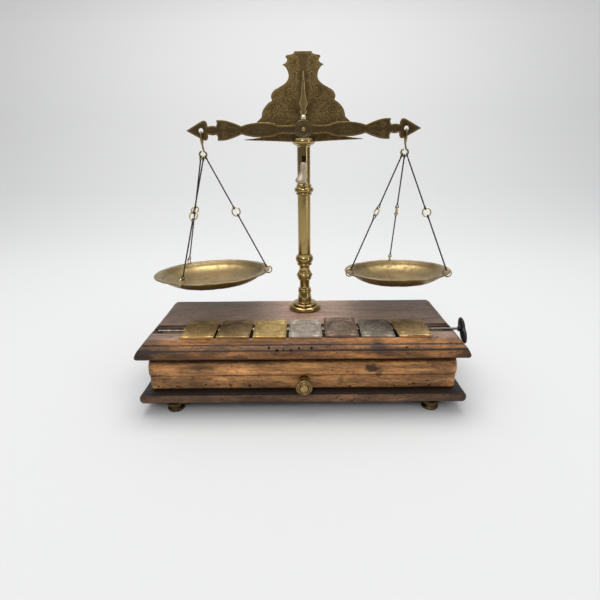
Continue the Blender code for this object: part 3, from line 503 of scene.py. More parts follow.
# ---- Base board ----
# The plinth under the drawer: a walnut plank with a round nose worked all round and a
# small step inside it, dirtier and darker than the top, with painted shade along its top
# ledge and its bottom edge.
base_wood = wood("base_wood", (0.170, 0.092, 0.055), (0.048, 0.025, 0.018), stain=0.6, worm=0.7,
                 shift=(0.31, 0.2, 0.05), ends=(0.10, 0.165, 0.5),
                 front=(box_mid.y - 0.0610, (0.240, 0.118, 0.054), (0.058, 0.027, 0.014)),
                 # Painted shade lines: along the top ledge under the drawer and along the bottom edge over
                 # the floor.
                 shade_lines=((0.0196, 0.0010, 0.88), (0.0102, 0.0016, 0.7)))
BASE_PROFILE = [(-4.4, 19.9), (-3.9, 19.75, 1), (-3.4, 19.3, 1), (-1.6, 19.1), (-0.4, 17.6), (0.0, 15.2),
                (-0.2, 12.8), (-1.2, 10.9), (-3.0, 9.9)]
base_board = moulded_board("board_base", 152.8, 64.0, BASE_PROFILE, base_wood, 2.1)
wormed(base_board, [(36.8, 14.1, 0.8), (46.2, 12.8, 0.9), (48.6, 14.6, 0.6)], -64.0, bore_shade_wood)
base_board.data.set_sharp_from_angle(angle=math.radians(28))
fitted(base_board, "box", "wood", "base_board")

# ---- Case walls ----
# Plain walnut boards glued between top and base, closing the sides and back of the drawer
# space. They are flat sawn boards, so the solid model's own shapes serve.
def as_modelled(material, *nodes):
    """These nodes show the solid model's own shape in this material."""
    for node in nodes:
        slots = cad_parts[node].data.materials
        slots.clear()
        slots.append(material)


case_wood = wood("case_wood", (0.150, 0.080, 0.046), (0.050, 0.027, 0.018), stain=0.5, worm=0.9,
                 shift=(0.11, 0.7, 0.35))
as_modelled(case_wood, "case_left", "case_right", "case_back")

# ---- Drawer front ----
# A thick lighter board with a bullnose rail worked along its upper half, rounded at the
# ends by wear, and peppered with worm holes.
front_wood = wood("front_wood", (0.72, 0.350, 0.118), (0.250, 0.108, 0.040), stain=0.42, worm=1.0,
                  shift=(0.0, 0.05, 0.013), ends=(0.118, 0.165, 0.30),
                  # Painted shade lines: in the quirk under the bead, along the bottom edge against the base,
                  # and along the top edge under the board.
                  shade_lines=((0.0353, 0.0007, 0.9), (0.0213, 0.0016, 0.6), (0.0496, 0.0020, 0.5)),
                  knots=((0.0624, 0.0430, 0.0080, 0.0045, 0.9), (0.0700, 0.0380, 0.0050, 0.0070, 0.6),
                         (-0.0513, 0.0240, 0.0022, 0.0022, 0.9), (0.0350, 0.0300, 0.0030, 0.0050, 0.4),
                         (-0.1440, 0.0350, 0.0060, 0.0150, 0.4), (0.1000, 0.0440, 0.0200, 0.0030, 0.35),
                         # The last patch darkens the lower left of the front broadly.
                         (-0.1000, 0.0450, 0.0260, 0.0022, 0.4), (-0.1050, 0.0270, 0.0500, 0.0090, 0.45)))
FRONT_SECTION = [(-46.5, 20.6), (-50.0, 20.6), (-53.6, 20.8), (-54.5, 21.8), (-54.6, 24.0), (-54.6, 34.3, 1),
                 (-54.1, 34.9, 1), (-54.1, 35.6, 1), (-55.6, 36.0), (-56.7, 37.4), (-57.0, 40.0),
                 (-56.6, 43.2), (-55.4, 46.2), (-53.2, 48.6), (-50.6, 49.6), (-46.5, 49.6)]
front_line = rounded(FRONT_SECTION, 3)
bm = bmesh.new()
rows = []
half_length = 144.3
stations = [-1.0, -0.998, -0.9945, -0.989, -0.982, -0.974]
stations += list(np.linspace(-0.96, 0.96, 70)) + [-s for s in reversed(stations)]
for s in stations:
    x = s * half_length
    end = max(0.0, (abs(s) - 0.974) / 0.026)
    inset = 3.2 * (1 - math.sqrt(max(0.0, 1 - end * end)))
    row = []
    for y, z in front_line:
        depth = max(0.0, (-46.5 - y) / 10.5)
        dy = inset * depth + wobble(x, z, 5.0, 0.14) * depth
        dz = (34.5 - z) * 0.010 * inset + wobble(x, y, 6.2, 0.12)
        row.append(bm.verts.new(from_box(x, y + dy, z + dz)))
    rows.append(row)
bridge(bm, rows)
drawer_front = object_from("front_board", bm, front_wood, 30)
wormed(drawer_front, [(-131.4, 28.1, 0.6), (-136.9, 24.2, 0.8), (-118.9, 24.0, 1.0), (-91.7, 25.5, 0.9),
                      (-80.3, 25.3, 0.6), (-68.0, 24.1, 1.0), (34.5, 25.3, 0.8), (45.1, 22.8, 0.9),
                      (87.3, 23.0, 0.7), (101.2, 24.6, 0.8), (104.9, 25.6, 1.0), (117.4, 28.7, 0.8),
                      (119.8, 23.3, 0.9)], -54.6, bore_shade_wood)
wormed(drawer_front, [(-65.4, 45.7, 0.7), (28.0, 41.5, 0.6)], -56.2, bore_shade_wood)
drawer_front.data.set_sharp_from_angle(angle=math.radians(30))
fitted(drawer_front, "drawer", "front_wood", "drawer_front")

# ---- Drawer box ----
# Thin pale boards, unpolished and dusty, nailed behind the front. Like the case walls
# they are plain flat boards.
inner_wood = wood("inner_wood", (0.42, 0.28, 0.15), (0.22, 0.13, 0.065), stain=0.2, pores=0.7, worm=0.6,
                  shift=(0.5, 0.1, 0.2))
as_modelled(inner_wood, "drawer_left", "drawer_right", "drawer_back", "drawer_bottom")


# ---- Brass finish ----
# Old lacquerless brass: golden where it is rubbed, olive-brown where it has tarnished,
# with fine specks, faint scratches and turning lines.
def make_tarnish():
    tree, given, out = new_group(
        "tarnish",
        [("Place", "NodeSocketVector"), ("Bright", "NodeSocketColor"), ("Dull", "NodeSocketColor"),
         ("Amount", "NodeSocketFloat"), ("Lines", "NodeSocketFloat")],
        [("Color", "NodeSocketColor"), ("Roughness", "NodeSocketFloat"), ("Height", "NodeSocketFloat")])
    place = given["Place"]
    clouds = noise(tree, place, 42.0, 8.0, 0.68, 0.4)
    mottle = noise(tree, place, 260.0, 5.0, 0.6)
    specks = noise(tree, place, 1500.0, 2.0, 0.5)
    cells = put(tree, "ShaderNodeTexVoronoi", {"Vector": place, "Scale": 330.0})
    picked = put(tree, "ShaderNodeSeparateColor", {0: cells.outputs["Color"]}).outputs[0]
    spot = sums(tree, "SUBTRACT", 1.0, step(tree, cells.outputs["Distance"], 0.10, 0.34))
    spot = sums(tree, "MULTIPLY", spot, sums(tree, "GREATER_THAN", picked, 0.80))
    turned_lines = noise(tree, stretched(tree, place, (60.0, 60.0, 4200.0)), 1.0, 2.0, 0.5)
    scratches = noise(tree, stretched(tree, place, (300.0, 90.0, 2600.0)), 1.0, 3.0, 0.5, 0.8)
    mask = sums(tree, "MULTIPLY_ADD", clouds, 0.62, sums(tree, "MULTIPLY", mottle, 0.38))
    mask = sums(tree, "ADD", mask, sums(tree, "MULTIPLY_ADD", given["Amount"], 0.5, -0.25))
    mask = step(tree, mask, 0.36, 0.66)
    mask = sums(tree, "ADD", mask, sums(tree, "MULTIPLY", spot, 0.5), clamp=True)
    colour = blend_colour(tree, mask, given["Bright"], given["Dull"])
    grit = sums(tree, "MULTIPLY_ADD", specks, 0.5, 0.75)
    colour = put(tree, "ShaderNodeVectorMath", {0: colour, 3: grit}, operation="SCALE").outputs[0]
    tree.links.new(colour, out["Color"])
    rough = sums(tree, "MULTIPLY_ADD", mask, 0.22, 0.20)
    rough = sums(tree, "ADD", rough, sums(tree, "MULTIPLY_ADD", specks, 0.22, -0.06), clamp=True)
    tree.links.new(rough, out["Roughness"])
    height = sums(tree, "MULTIPLY_ADD", turned_lines, given["Lines"], sums(tree, "MULTIPLY", scratches, 0.12))
    height = sums(tree, "ADD", height, sums(tree, "MULTIPLY", mottle, 0.35))
    height = sums(tree, "SUBTRACT", height, sums(tree, "MULTIPLY", spot, 0.25))
    tree.links.new(height, out["Height"])
    return tree


tarnish = make_tarnish()


def metal(name, bright, dull, amount=0.5, lines=0.1, shift=(0, 0, 0), cut=None, bump=0.35, rougher=0.0,
          metallic=1.0):
    """A tarnished metal; cut colours what the piece's cut attribute marks as engraved."""
    material = bpy.data.materials.new(name)
    material.use_nodes = True
    tree = material.node_tree
    shader = tree.nodes["Principled BSDF"]
    coords = put(tree, "ShaderNodeTexCoord").outputs["Object"]
    place = put(tree, "ShaderNodeMapping", {"Vector": coords, "Location": shift}).outputs[0]
    skin = put(tree, "ShaderNodeGroup", {}, node_tree=tarnish)
    tree.links.new(place, skin.inputs["Place"])
    skin.inputs["Bright"].default_value = (*bright, 1)
    skin.inputs["Dull"].default_value = (*dull, 1)
    skin.inputs["Amount"].default_value = amount
    skin.inputs["Lines"].default_value = lines
    colour, rough = skin.outputs["Color"], skin.outputs["Roughness"]
    if cut:
        marks = put(tree, "ShaderNodeAttribute", attribute_name="cut").outputs["Fac"]
        # The edge attribute lightens the rounded edges: partly rubbed wear, partly a painted highlight.
        rubbed = put(tree, "ShaderNodeAttribute", attribute_name="edge").outputs["Fac"]
        colour = blend_colour(tree, sums(tree, "MULTIPLY", rubbed, 0.55), colour,
                              (*[c * 1.5 for c in bright], 1))
        colour = blend_colour(tree, marks, colour, (*cut, 1))
        rough = sums(tree, "MULTIPLY_ADD", marks, 0.25, rough, clamp=True)
    if rougher:
        rough = sums(tree, "ADD", rough, rougher, clamp=True)
    tree.links.new(colour, shader.inputs["Base Color"])
    tree.links.new(rough, shader.inputs["Roughness"])
    shader.inputs["Metallic"].default_value = metallic
    height = put(tree, "ShaderNodeBump", {"Height": skin.outputs["Height"], "Strength": bump,
                                          "Distance": 0.00025})
    tree.links.new(height.outputs[0], shader.inputs["Normal"])
    return material


# ---- Feet ----
# Four turned brass buttons screwed under the corners of the base board, with a wide
# shoulder, a waist and a rounded sole.
def lathe(profile, centre, steps=64, axis="Z", smooth=4):
    """Turns (radius, height) down the outer side about an axis through centre, in mm."""
    bm = bmesh.new()
    line = rounded(profile, smooth) if smooth > 1 else [p[:2] for p in profile]
    rows = []
    for r, h in line:
        count = 1 if r < 1e-6 else steps
        row = []
        for k in range(count):
            a = math.tau * k / steps
            p = Vector((r * math.cos(a), r * math.sin(a), h)) / 1000
            if axis == "Y":
                p = Vector((p.x, -p.z, p.y))
            if axis == "X":
                p = Vector((p.z, p.x, p.y))
            row.append(bm.verts.new(centre + p))
        rows.append(row)
    if len(rows[0]) > 1:
        rows.append(rows[0])
    for low, high in zip(rows, rows[1:]):
        for k in range(steps):
            j = (k + 1) % steps
            if len(low) == 1 and len(high) > 1:
                bm.faces.new((low[0], high[k], high[j]))
            elif len(high) == 1 and len(low) > 1:
                bm.faces.new((low[j], low[k], high[0]))
            elif len(low) > 1:
                bm.faces.new((low[k], low[j], high[j], high[k]))
    return bm


foot_brass = metal("foot_brass", (0.17, 0.116, 0.048), (0.050, 0.036, 0.018), amount=0.55, lines=0.25)
FOOT = [(0.0, 9.6), (8.4, 9.6), (9.1, 9.2), (9.3, 8.4), (9.2, 7.5), (8.6, 6.9, 1), (7.4, 6.6), (6.3, 6.0),
        (5.9, 5.0), (6.2, 3.9), (7.0, 3.2, 1), (7.8, 2.6), (8.1, 1.7), (7.7, 0.7), (6.8, 0.05), (0.0, 0.0)]
for name in ("foot_front_left", "foot_front_right", "foot_back_left", "foot_back_right"):
    low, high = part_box(name)
    at = Vector(((low.x + high.x) / 2, (low.y + high.y) / 2, 0))
    foot = object_from(name + "_turned", lathe(FOOT, at, 56), foot_brass)
    fitted(foot, "box", "brass", name)

# ---- Drawer knob ----
# A brass pull turned in one piece with its screw: foot, narrow waist, thick flange, and
# a ring and a raised button on its face.
knob_brass = metal("knob_brass", (0.44, 0.307, 0.127), (0.17, 0.116, 0.050), amount=0.40, lines=0.0)
KNOB = [(0.0, 14.0), (2.9, 14.0), (3.6, 13.7), (3.9, 13.1), (3.9, 12.0, 1), (4.3, 11.7, 1), (4.5, 12.6),
        (5.0, 12.9), (5.5, 12.6), (5.8, 11.6, 1), (6.3, 11.4, 1), (6.7, 12.1), (7.2, 12.1), (7.7, 11.4),
        (7.8, 9.6), (7.5, 8.8), (6.6, 8.4, 1), (5.0, 7.8), (4.2, 6.6), (4.1, 5.2), (4.8, 4.2, 1),
        (6.2, 3.8), (6.6, 3.2), (6.6, 0.0, 1), (2.3, 0.0, 1), (2.3, -8.1, 1), (0.0, -8.1)]
low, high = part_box("drawer_knob")
knob_at = Vector(((low.x + high.x) / 2, low.y + 0.014, (low.z + high.z) / 2))
knob = object_from("knob_turned", lathe(KNOB, knob_at, 64, "Y"), knob_brass, 30)
fitted(knob, "drawer", "brass", "drawer_knob")

# ---- Column foot ----
# Turned from brass bar: a stepped flange, a beaded cone and two baluster swellings, with
# a stud below that goes through the top board to a nut.
column_brass = metal("column_brass", (0.41, 0.295, 0.117), (0.205, 0.143, 0.056), amount=0.26, lines=0.2,
                     bump=0.03, rougher=-0.12)
BASE_TURN = [(0.0, 131.0), (6.2, 131.0), (6.6, 130.4), (7.4, 129.4, 1), (8.4, 128.4), (9.2, 126.6),
             (9.35, 124.8), (8.8, 122.8), (7.7, 121.4), (7.1, 120.8, 1), (7.6, 120.4), (7.9, 119.7),
             (7.6, 119.0), (6.6, 118.7, 1), (6.0, 118.0), (5.6, 116.6), (5.6, 113.2), (5.9, 112.1, 1),
             (6.6, 111.8), (6.8, 111.1), (6.6, 110.4, 1), (7.6, 109.6), (8.35, 108.0), (8.3, 106.4),
             (7.6, 104.9), (7.0, 104.3, 1), (7.2, 103.5), (6.7, 102.7, 1), (5.8, 102.2), (5.4, 100.8),
             (5.35, 94.4), (5.6, 92.9, 1), (6.5, 92.6), (6.9, 91.8), (6.5, 91.0, 1), (6.25, 90.9, 1),
             (7.0, 90.4), (7.3, 89.3), (7.0, 88.2, 1), (6.3, 87.8, 1), (6.6, 86.6), (7.1, 84.0),
             (7.5, 81.0), (7.6, 78.6), (7.3, 77.5, 1), (7.9, 77.0, 1), (10.2, 76.8), (12.6, 76.3),
             (13.3, 75.6), (13.4, 74.7, 1), (13.1, 74.3, 1), (15.2, 74.1), (16.8, 73.4), (17.4, 72.2),
             (17.3, 70.6), (16.6, 69.4, 1), (2.7, 69.3, 1), (2.7, 50.8, 1), (0.0, 50.8)]
column_foot = object_from("column_foot", lathe(BASE_TURN, column_axis, 72, smooth=3), column_brass, 40)
fitted(column_foot, "box", "brass", "column_base")
as_modelled(foot_brass, "column_nut")

# ---- Column tube ----
# A drawn brass tube with a turned ring half way, standing on the foot. It is slotted in
# front for the lever's stem.
TUBE = [(3.6, 236.7, 1), (6.4, 236.7, 1), (6.4, 202.0, 1), (6.9, 201.6), (7.5, 201.0), (7.6, 200.0),
        (7.1, 199.2, 1), (7.9, 198.9), (9.0, 198.0), (9.6, 196.4), (9.4, 195.0), (8.4, 194.0),
        (7.4, 193.6, 1), (7.8, 193.0), (7.8, 191.9), (7.2, 191.2), (6.45, 190.8, 1), (6.45, 131.3, 1),
        (3.6, 131.3, 1)]
tube = object_from("tube_turned", lathe(TUBE, column_axis, 72, smooth=3), column_brass, 40)
slot_tool = block("slot_tool", from_column(-1.7, -9, 203.5), from_column(1.7, -2, 228.6), column_brass)
hollowed(tube, [slot_tool])
tube.data.set_sharp_from_angle(angle=math.radians(40))
fitted(tube, "box", "brass", "column_tube")

# ---- Top collar ----
# A flared brass collar turned to sit on the tube, with a square pocket sunk for the fork
# and a notch filed behind for the rest bar and the crest.
COLLAR = [(3.6, 244.7, 1), (9.3, 244.7), (9.9, 244.4), (10.5, 243.5), (11.05, 242.3), (11.1, 241.0),
          (10.6, 239.7), (9.4, 238.7), (7.9, 238.1), (7.0, 237.9, 1), (7.0, 237.2), (6.6, 237.0, 1),
          (3.6, 237.0, 1)]
collar = object_from("collar_turned", lathe(COLLAR, column_axis, 72, smooth=3), column_brass, 40)
pocket = block("pocket", from_column(-4.8, -4.9, 241.0), from_column(4.8, 4.9, 250), column_brass)
hollowed(collar, [pocket])
notch = block("notch", from_column(-20, 6.2, 241.0), from_column(20, 20, 250), column_brass)
hollowed(collar, [notch])
collar.data.set_sharp_from_angle(angle=math.radians(40))
fitted(collar, "box", "brass", "top_collar")

# ---- Lift rod and lever ----
# A steel rod slides in the tube. Its lever is a small cast bronze thumb piece, rubbed
# pale, on a stem that passes through the slot.
rod_steel = metal("rod_steel", (0.10, 0.09, 0.08), (0.030, 0.026, 0.022), amount=0.5)
as_modelled(rod_steel, "lift_rod")
lever_bronze = metal("lever_bronze", (0.54, 0.455, 0.33), (0.30, 0.245, 0.165), amount=0.30, lines=0.0,
                     rougher=0.15, metallic=0.7)
LEVER = [(223.2, -0.4, 1.2, -8.3, 0.9), (222.4, -0.4, 2.6, -8.4, 1.5), (220.2, -0.4, 3.4, -8.7, 1.8),
         (217.4, -0.5, 3.25, -9.0, 1.9), (213.8, -0.9, 3.05, -9.2, 1.9), (210.6, -1.7, 4.0, -9.6, 2.1),
         (207.6, -2.5, 5.6, -10.2, 2.5), (205.4, -2.6, 6.2, -10.6, 2.7), (203.8, -2.2, 5.0, -10.8, 2.4),
         (202.8, -1.7, 2.6, -10.8, 1.4)]
bm = bmesh.new()
rows = []
for z, cx, rx, cy, ry in LEVER:
    rows.append([bm.verts.new(from_column(cx + rx * math.cos(a), cy + ry * math.sin(a), z))
                 for a in (math.tau * k / 20 for k in range(20))])
bridge(bm, rows)
lever = object_from("lever_cast", bm, lever_bronze, 60)
soften = lever.modifiers.new("soften", "SUBSURF")
soften.levels = soften.render_levels = 2
stem = object_from("stem_tool", lathe([(0, 9.0), (1.2, 9.0, 1), (1.2, 0.0, 1), (0, 0.0)],
                                      from_column(0, 0, 214.0), 24, "Y", 1), lever_bronze)
hollowed(lever, [stem], "UNION")
fitted(lever, "lift", "bronze", "lift_lever")

# ---- Fork ----
# Two round brass cheeks brazed to a yoke on a short stem. They carry the beam's pin and
# rise with the rod.
CHEEK = [(0.0, 2.2), (5.6, 2.2), (5.8, 2.05), (6.2, 2.05), (6.4, 2.2), (7.9, 2.2), (8.4, 2.05), (8.65, 1.6),
         (8.65, 0.6), (8.4, 0.15), (7.9, 0.0), (0.0, 0.0)]
fork_brass = metal("fork_brass", (0.22, 0.165, 0.078), (0.09, 0.065, 0.031), amount=0.5, lines=0.0)
inner_gap, cheek_thick = 0.0024, 0.0022
front_at = pivot - Vector((0, inner_gap, 0))
rear_at = pivot + Vector((0, inner_gap + cheek_thick, 0))
fork = object_from("fork_forged", lathe(CHEEK, front_at, 64, "Y", 2), fork_brass, 30)
rear_cheek = object_from("rear_cheek", lathe(CHEEK, rear_at, 64, "Y", 2), fork_brass, 30)
yoke = block("yoke", pivot + Vector((-4.4, -4.55, -11.0)) / 1000, pivot + Vector((4.4, 4.55, -6.6)) / 1000,
             fork_brass, 0.3)
FORK_STEM = [(0, -9.3), (1.4, -9.3, 1), (1.4, -15.9, 1), (0, -15.9)]
fork_stem = object_from("fork_stem", lathe(FORK_STEM, pivot, 24, "Z", 1), fork_brass)
hollowed(fork, [rear_cheek, yoke, fork_stem], "UNION")
fork.data.set_sharp_from_angle(angle=math.radians(30))
fitted(fork, "lift", "brass", "fork")


# ---- Engraved plates ----
# Sheet brass sawn to an outline, its edges filed round and its face cut with a burin.
# The cut lines are real grooves; attributes mark them and the rubbed edges, painted lighter,
# partly for wear and partly as a painted highlight.
def plate_points(outline, gap):
    """The closed outline with points no further apart than gap."""
    out = []
    for a, b in zip(outline, outline[1:] + outline[:1]):
        a, b = np.array(a), np.array(b)
        count = max(1, int(math.ceil(np.linalg.norm(b - a) / gap)))
        out += [tuple(a + (b - a) * k / count) for k in range(count)]
    return out


def nearest(points, to):
    """Distance from each point to the nearest of the other points, in the plane."""
    tree = KDTree(len(to))
    for i, p in enumerate(to):
        tree.insert((p[0], p[1], 0), i)
    tree.balance()
    return np.array([tree.find((p[0], p[1], 0))[2] for p in points])


def engraved_plate(name, outline, gap, thick, carve, centre, front, material, spin=None, edge=0.4):
    """A plate in the XZ plane facing -Y at depth front; carve(points) gives the grooves' depth and marks."""
    ring = plate_points(outline, gap * 0.8)
    loop = np.array(ring)
    ahead = np.roll(loop, -1, 0) - np.roll(loop, 1, 0)
    area = 0.5 * np.sum(loop[:, 0] * np.roll(loop[:, 1], -1) - np.roll(loop[:, 0], -1) * loop[:, 1])
    inward = np.stack([-ahead[:, 1], ahead[:, 0]], 1) * (1 if area > 0 else -1)
    inward /= np.linalg.norm(inward, axis=1)[:, None] + 1e-9
    low, high = loop.min(0), loop.max(0)
    xs, zs = np.arange(low[0], high[0], gap), np.arange(low[1], high[1], gap * 0.87)
    gx, gz = np.meshgrid(xs, zs)
    gx[1::2] += gap / 2
    grid = np.stack([gx.ravel(), gz.ravel()], 1)
    inside = np.zeros(len(grid), bool)
    for (x0, z0), (x1, z1) in zip(loop, np.roll(loop, -1, 0)):
        if z0 != z1:
            crosses = ((z0 > grid[:, 1]) != (z1 > grid[:, 1])) & (
                grid[:, 0] < (x1 - x0) * (grid[:, 1] - z0) / (z1 - z0) + x0)
            inside ^= crosses
    grid = grid[inside]
    dense = plate_points(outline, 0.12)
    grid = grid[nearest(grid, dense) > edge + 0.45 * gap]
    collar_rows = []
    for inset in (edge * 0.12, edge * 0.45, edge):
        row = loop + inward * inset
        collar_rows.append(row[nearest(row, dense) > inset * 0.85])
    points = [Vector(p) for p in loop] + [Vector(p) for p in np.concatenate(collar_rows + [grid])]
    made = geometry.delaunay_2d_cdt(points, [], [list(range(len(loop)))], 1, 1e-5)
    flat = np.array([tuple(p) for p in made[0]])
    origin = {ids[0]: i for i, ids in enumerate(made[3]) if ids}
    rim = [origin[i] for i in range(len(loop)) if i in origin]
    away = nearest(flat, dense)
    away[rim] = 0
    near = np.clip((edge - away) / edge, 0, 1)
    drop = edge * (1 - np.sqrt(np.clip(1 - near**2, 0, 1)))
    depth, marks = carve(flat, away)
    y_front = front + np.maximum(drop, depth)
    y_back = front + thick - drop
    bm = bmesh.new()
    cut = bm.verts.layers.float.new("cut")
    edge_wear_and_highlight = bm.verts.layers.float.new("edge")
    fronts, backs = [], []
    for i, (x, z) in enumerate(flat):
        v = bm.verts.new((x, y_front[i], z))
        v[cut] = float(marks[i])
        # The edge value marks the rounded rim, painted lighter: partly wear, partly a painted highlight.
        v[edge_wear_and_highlight] = float(min(1.0, max(0.0, (edge * 1.6 - away[i]) / edge)))
        fronts.append(v)
        w = bm.verts.new((x, y_back[i], z))
        w[edge_wear_and_highlight] = v[edge_wear_and_highlight]
        backs.append(w)
    for face in made[2]:
        bm.faces.new([fronts[i] for i in face])
        bm.faces.new([backs[i] for i in reversed(face)])
    for i, j in zip(rim, rim[1:] + rim[:1]):
        try:
            bm.faces.new((fronts[i], fronts[j], backs[j], backs[i]))
        except ValueError:
            pass
    if spin is not None:
        bmesh.ops.transform(bm, matrix=spin, verts=bm.verts)
    for v in bm.verts:
        v.co = v.co / 1000 + centre
    return object_from(name, bm, material, 50)


def mirrored(half):
    """The closed outline of a right half that starts and ends on the centre line."""
    return [tuple(p) for p in half] + [(-x, z) for x, z in reversed(half[1:-1])]


def curl(cx, cz, r, turns, start, way=1):
    """A spiral closing on its centre."""
    pts = []
    for k in range(int(60 * turns)):
        t = k / (60 * turns)
        a = math.radians(start) + way * math.tau * turns * t
        pts.append((cx + r * (1 - 0.86 * t) * math.cos(a), cz + r * (1 - 0.86 * t) * math.sin(a)))
    return pts


def stroke(x0, z0, x1, z1, bow):
    """A bowed burin stroke."""
    pts = []
    for k in range(25):
        t = k / 24
        side = bow * math.sin(math.pi * t)
        length = math.hypot(x1 - x0, z1 - z0)
        pts.append((x0 + (x1 - x0) * t - side * (z1 - z0) / length,
                    z0 + (z1 - z0) * t + side * (x1 - x0) / length))
    return pts


def burin(lines, width, deep, border=None):
    """A carve function for these lines, with an optional line at a distance from the edge."""
    samples = [p for line in lines for p in line] + [(9e3, 9e3)]

    def carve(points, away):
        d = nearest(points, samples)
        mark = np.clip(1 - (d / width) ** 2, 0, 1)
        if border:
            mark = np.maximum(mark, np.clip(1 - ((away - border) / width) ** 2, 0, 1))
        return deep * mark, mark

    return carve


# ---- Crest ----
# The back plate that the pointer is read against: sheet brass sawn to a stepped outline,
# engraved all over with leafy scrolls, screwed behind the collar.
crest_brass = metal("crest_brass", (0.250, 0.165, 0.066), (0.090, 0.060, 0.027), amount=0.50, lines=0.0,
                    cut=(0.42, 0.29, 0.12), bump=0.5, rougher=0.06)
CREST = [(0.0, 67.3), (7.8, 67.3, 1), (8.9, 65.6), (11.8, 64.7), (15.2, 64.3, 1), (16.3, 62.8, 1),
         (15.0, 61.2), (14.7, 59.8), (16.2, 58.0), (19.4, 56.5, 1), (16.6, 54.6), (14.6, 51.6),
         (13.7, 48.4), (13.8, 45.4), (15.4, 42.6), (18.8, 39.8), (23.8, 37.2), (28.0, 34.8), (30.4, 31.4),
         (30.6, 28.4), (29.9, 26.3, 1), (33.2, 24.4), (36.6, 21.2), (39.2, 17.4), (40.2, 13.8),
         (40.4, 11.9, 1), (42.2, 10.2), (45.6, 7.2, 1), (44.6, 3.6), (40.0, 0.6), (32.0, -1.0),
         (20.0, -1.6), (9.0, -2.4, 1), (5.2, -6.0), (4.8, -11.0, 1), (0.0, -11.0)]
scrolls = []
for cx, cz, r, turns, start, way in (
        (34.0, 9.0, 6.6, 2.4, 200, 1), (22.0, 8.0, 6.2, 2.2, -10, -1), (29.0, 19.5, 6.4, 2.4, 170, 1),
        (17.5, 20.5, 6.0, 2.3, 20, -1), (23.5, 31.0, 5.0, 2.2, 190, 1), (12.6, 33.0, 5.4, 2.3, 0, -1),
        (9.2, 44.5, 4.3, 2.1, 180, 1), (8.6, 54.0, 3.7, 2.0, 20, -1), (14.4, 56.6, 2.2, 1.6, 0, 1),
        (9.6, 61.6, 2.9, 1.8, 180, -1), (9.0, 11.0, 5.0, 2.2, 160, 1), (39.6, 4.6, 2.6, 1.6, 0, 1)):
    scrolls.append(curl(cx, cz, r, turns, start, way))
    for k in range(7):
        a = math.radians(start + 40 * k * way)
        scrolls.append(stroke(cx + r * 0.98 * math.cos(a), cz + r * 0.98 * math.sin(a),
                              cx + (r + 2.3) * math.cos(a + 0.35 * way),
                              cz + (r + 2.3) * math.sin(a + 0.35 * way),
                              0.5 * way))
for x0, z0, x1, z1, bow in ((3.0, 2.0, 28.0, 1.6, 2.2), (28.0, 1.6, 42.0, 6.0, -1.5),
                            (13.0, 14.0, 24.0, 25.0, 2.0), (27.0, 26.0, 18.0, 37.0, 2.0),
                            (16.0, 38.5, 11.0, 49.0, 1.6), (5.0, 20.0, 7.5, 39.0, 1.2),
                            (5.5, 40.0, 5.0, 50.0, -1.0), (4.6, 51.0, 5.4, 63.0, 1.0),
                            (35.0, 16.5, 38.0, 12.0, 1.0)):
    scrolls.append(stroke(x0, z0, x1, z1, bow))
    scrolls.append(stroke(x0 + 0.7, z0 + 0.7, x1 + 0.7, z1 + 0.5, bow * 0.8))
scrolls += [[(-x, z) for x, z in line] for line in scrolls]
crest = engraved_plate("crest_engraved", mirrored(rounded(CREST, 5)), 0.42, 1.4,
                       burin(scrolls, 0.24, 0.11, 1.5), pivot, 8.4, crest_brass)
fitted(crest, "box", "dark_brass", "crest_plate")

# ---- Rest bar ----
# A thin brass bar across the collar, just behind the beam, which it steadies at rest.
# One screw with a slotted head holds it and the crest.
BAR = [(0.0, -2.2), (8.0, -2.2), (18.0, -2.4), (28.0, -3.8), (37.0, -5.8), (48.0, -7.3), (57.8, -8.2, 1),
       (57.8, -8.9, 1), (50.0, -9.3), (38.0, -9.7), (24.0, -10.3), (12.0, -10.9), (0.0, -11.0)]
rest_bar = engraved_plate("rest_bar_sawn", mirrored(rounded(BAR, 3)), 0.9, 1.6, burin([], 0.3, 0.1), pivot,
                          6.5, crest_brass, edge=0.3)
fitted(rest_bar, "box", "dark_brass", "rest_bar")
SCREW = [(0.0, 5.2), (1.2, 5.1), (1.9, 4.7), (2.2, 4.1), (2.2, 3.4, 1), (0.9, 3.4, 1), (0.9, 0.0, 1),
         (0.0, 0.0)]
screw = lathe(SCREW, Vector((0, 0, 0)), 40, "Y", 2)
low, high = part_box("crest_screw")
bmesh.ops.rotate(screw, verts=screw.verts, matrix=Matrix.Rotation(math.pi, 3, "Z"))
bmesh.ops.translate(screw, verts=screw.verts, vec=((low.x + high.x) / 2, low.y, (low.z + high.z) / 2))
crest_screw = object_from("crest_screw_turned", screw, foot_brass)
slot_across, slot_deep, slot_half = Vector((0.004, 0, 0)), 0.0007, Vector((0, 0, 0.00035))
head_mid = Vector(((low.x + high.x) / 2, high.y, (low.z + high.z) / 2))
driver_slot = block("driver_slot", head_mid - slot_across - slot_half - Vector((0, slot_deep, 0)),
                    head_mid + slot_across + slot_half + Vector((0, 0.002, 0)), foot_brass)
hollowed(crest_screw, [driver_slot])
fitted(crest_screw, "box", "brass", "crest_screw")

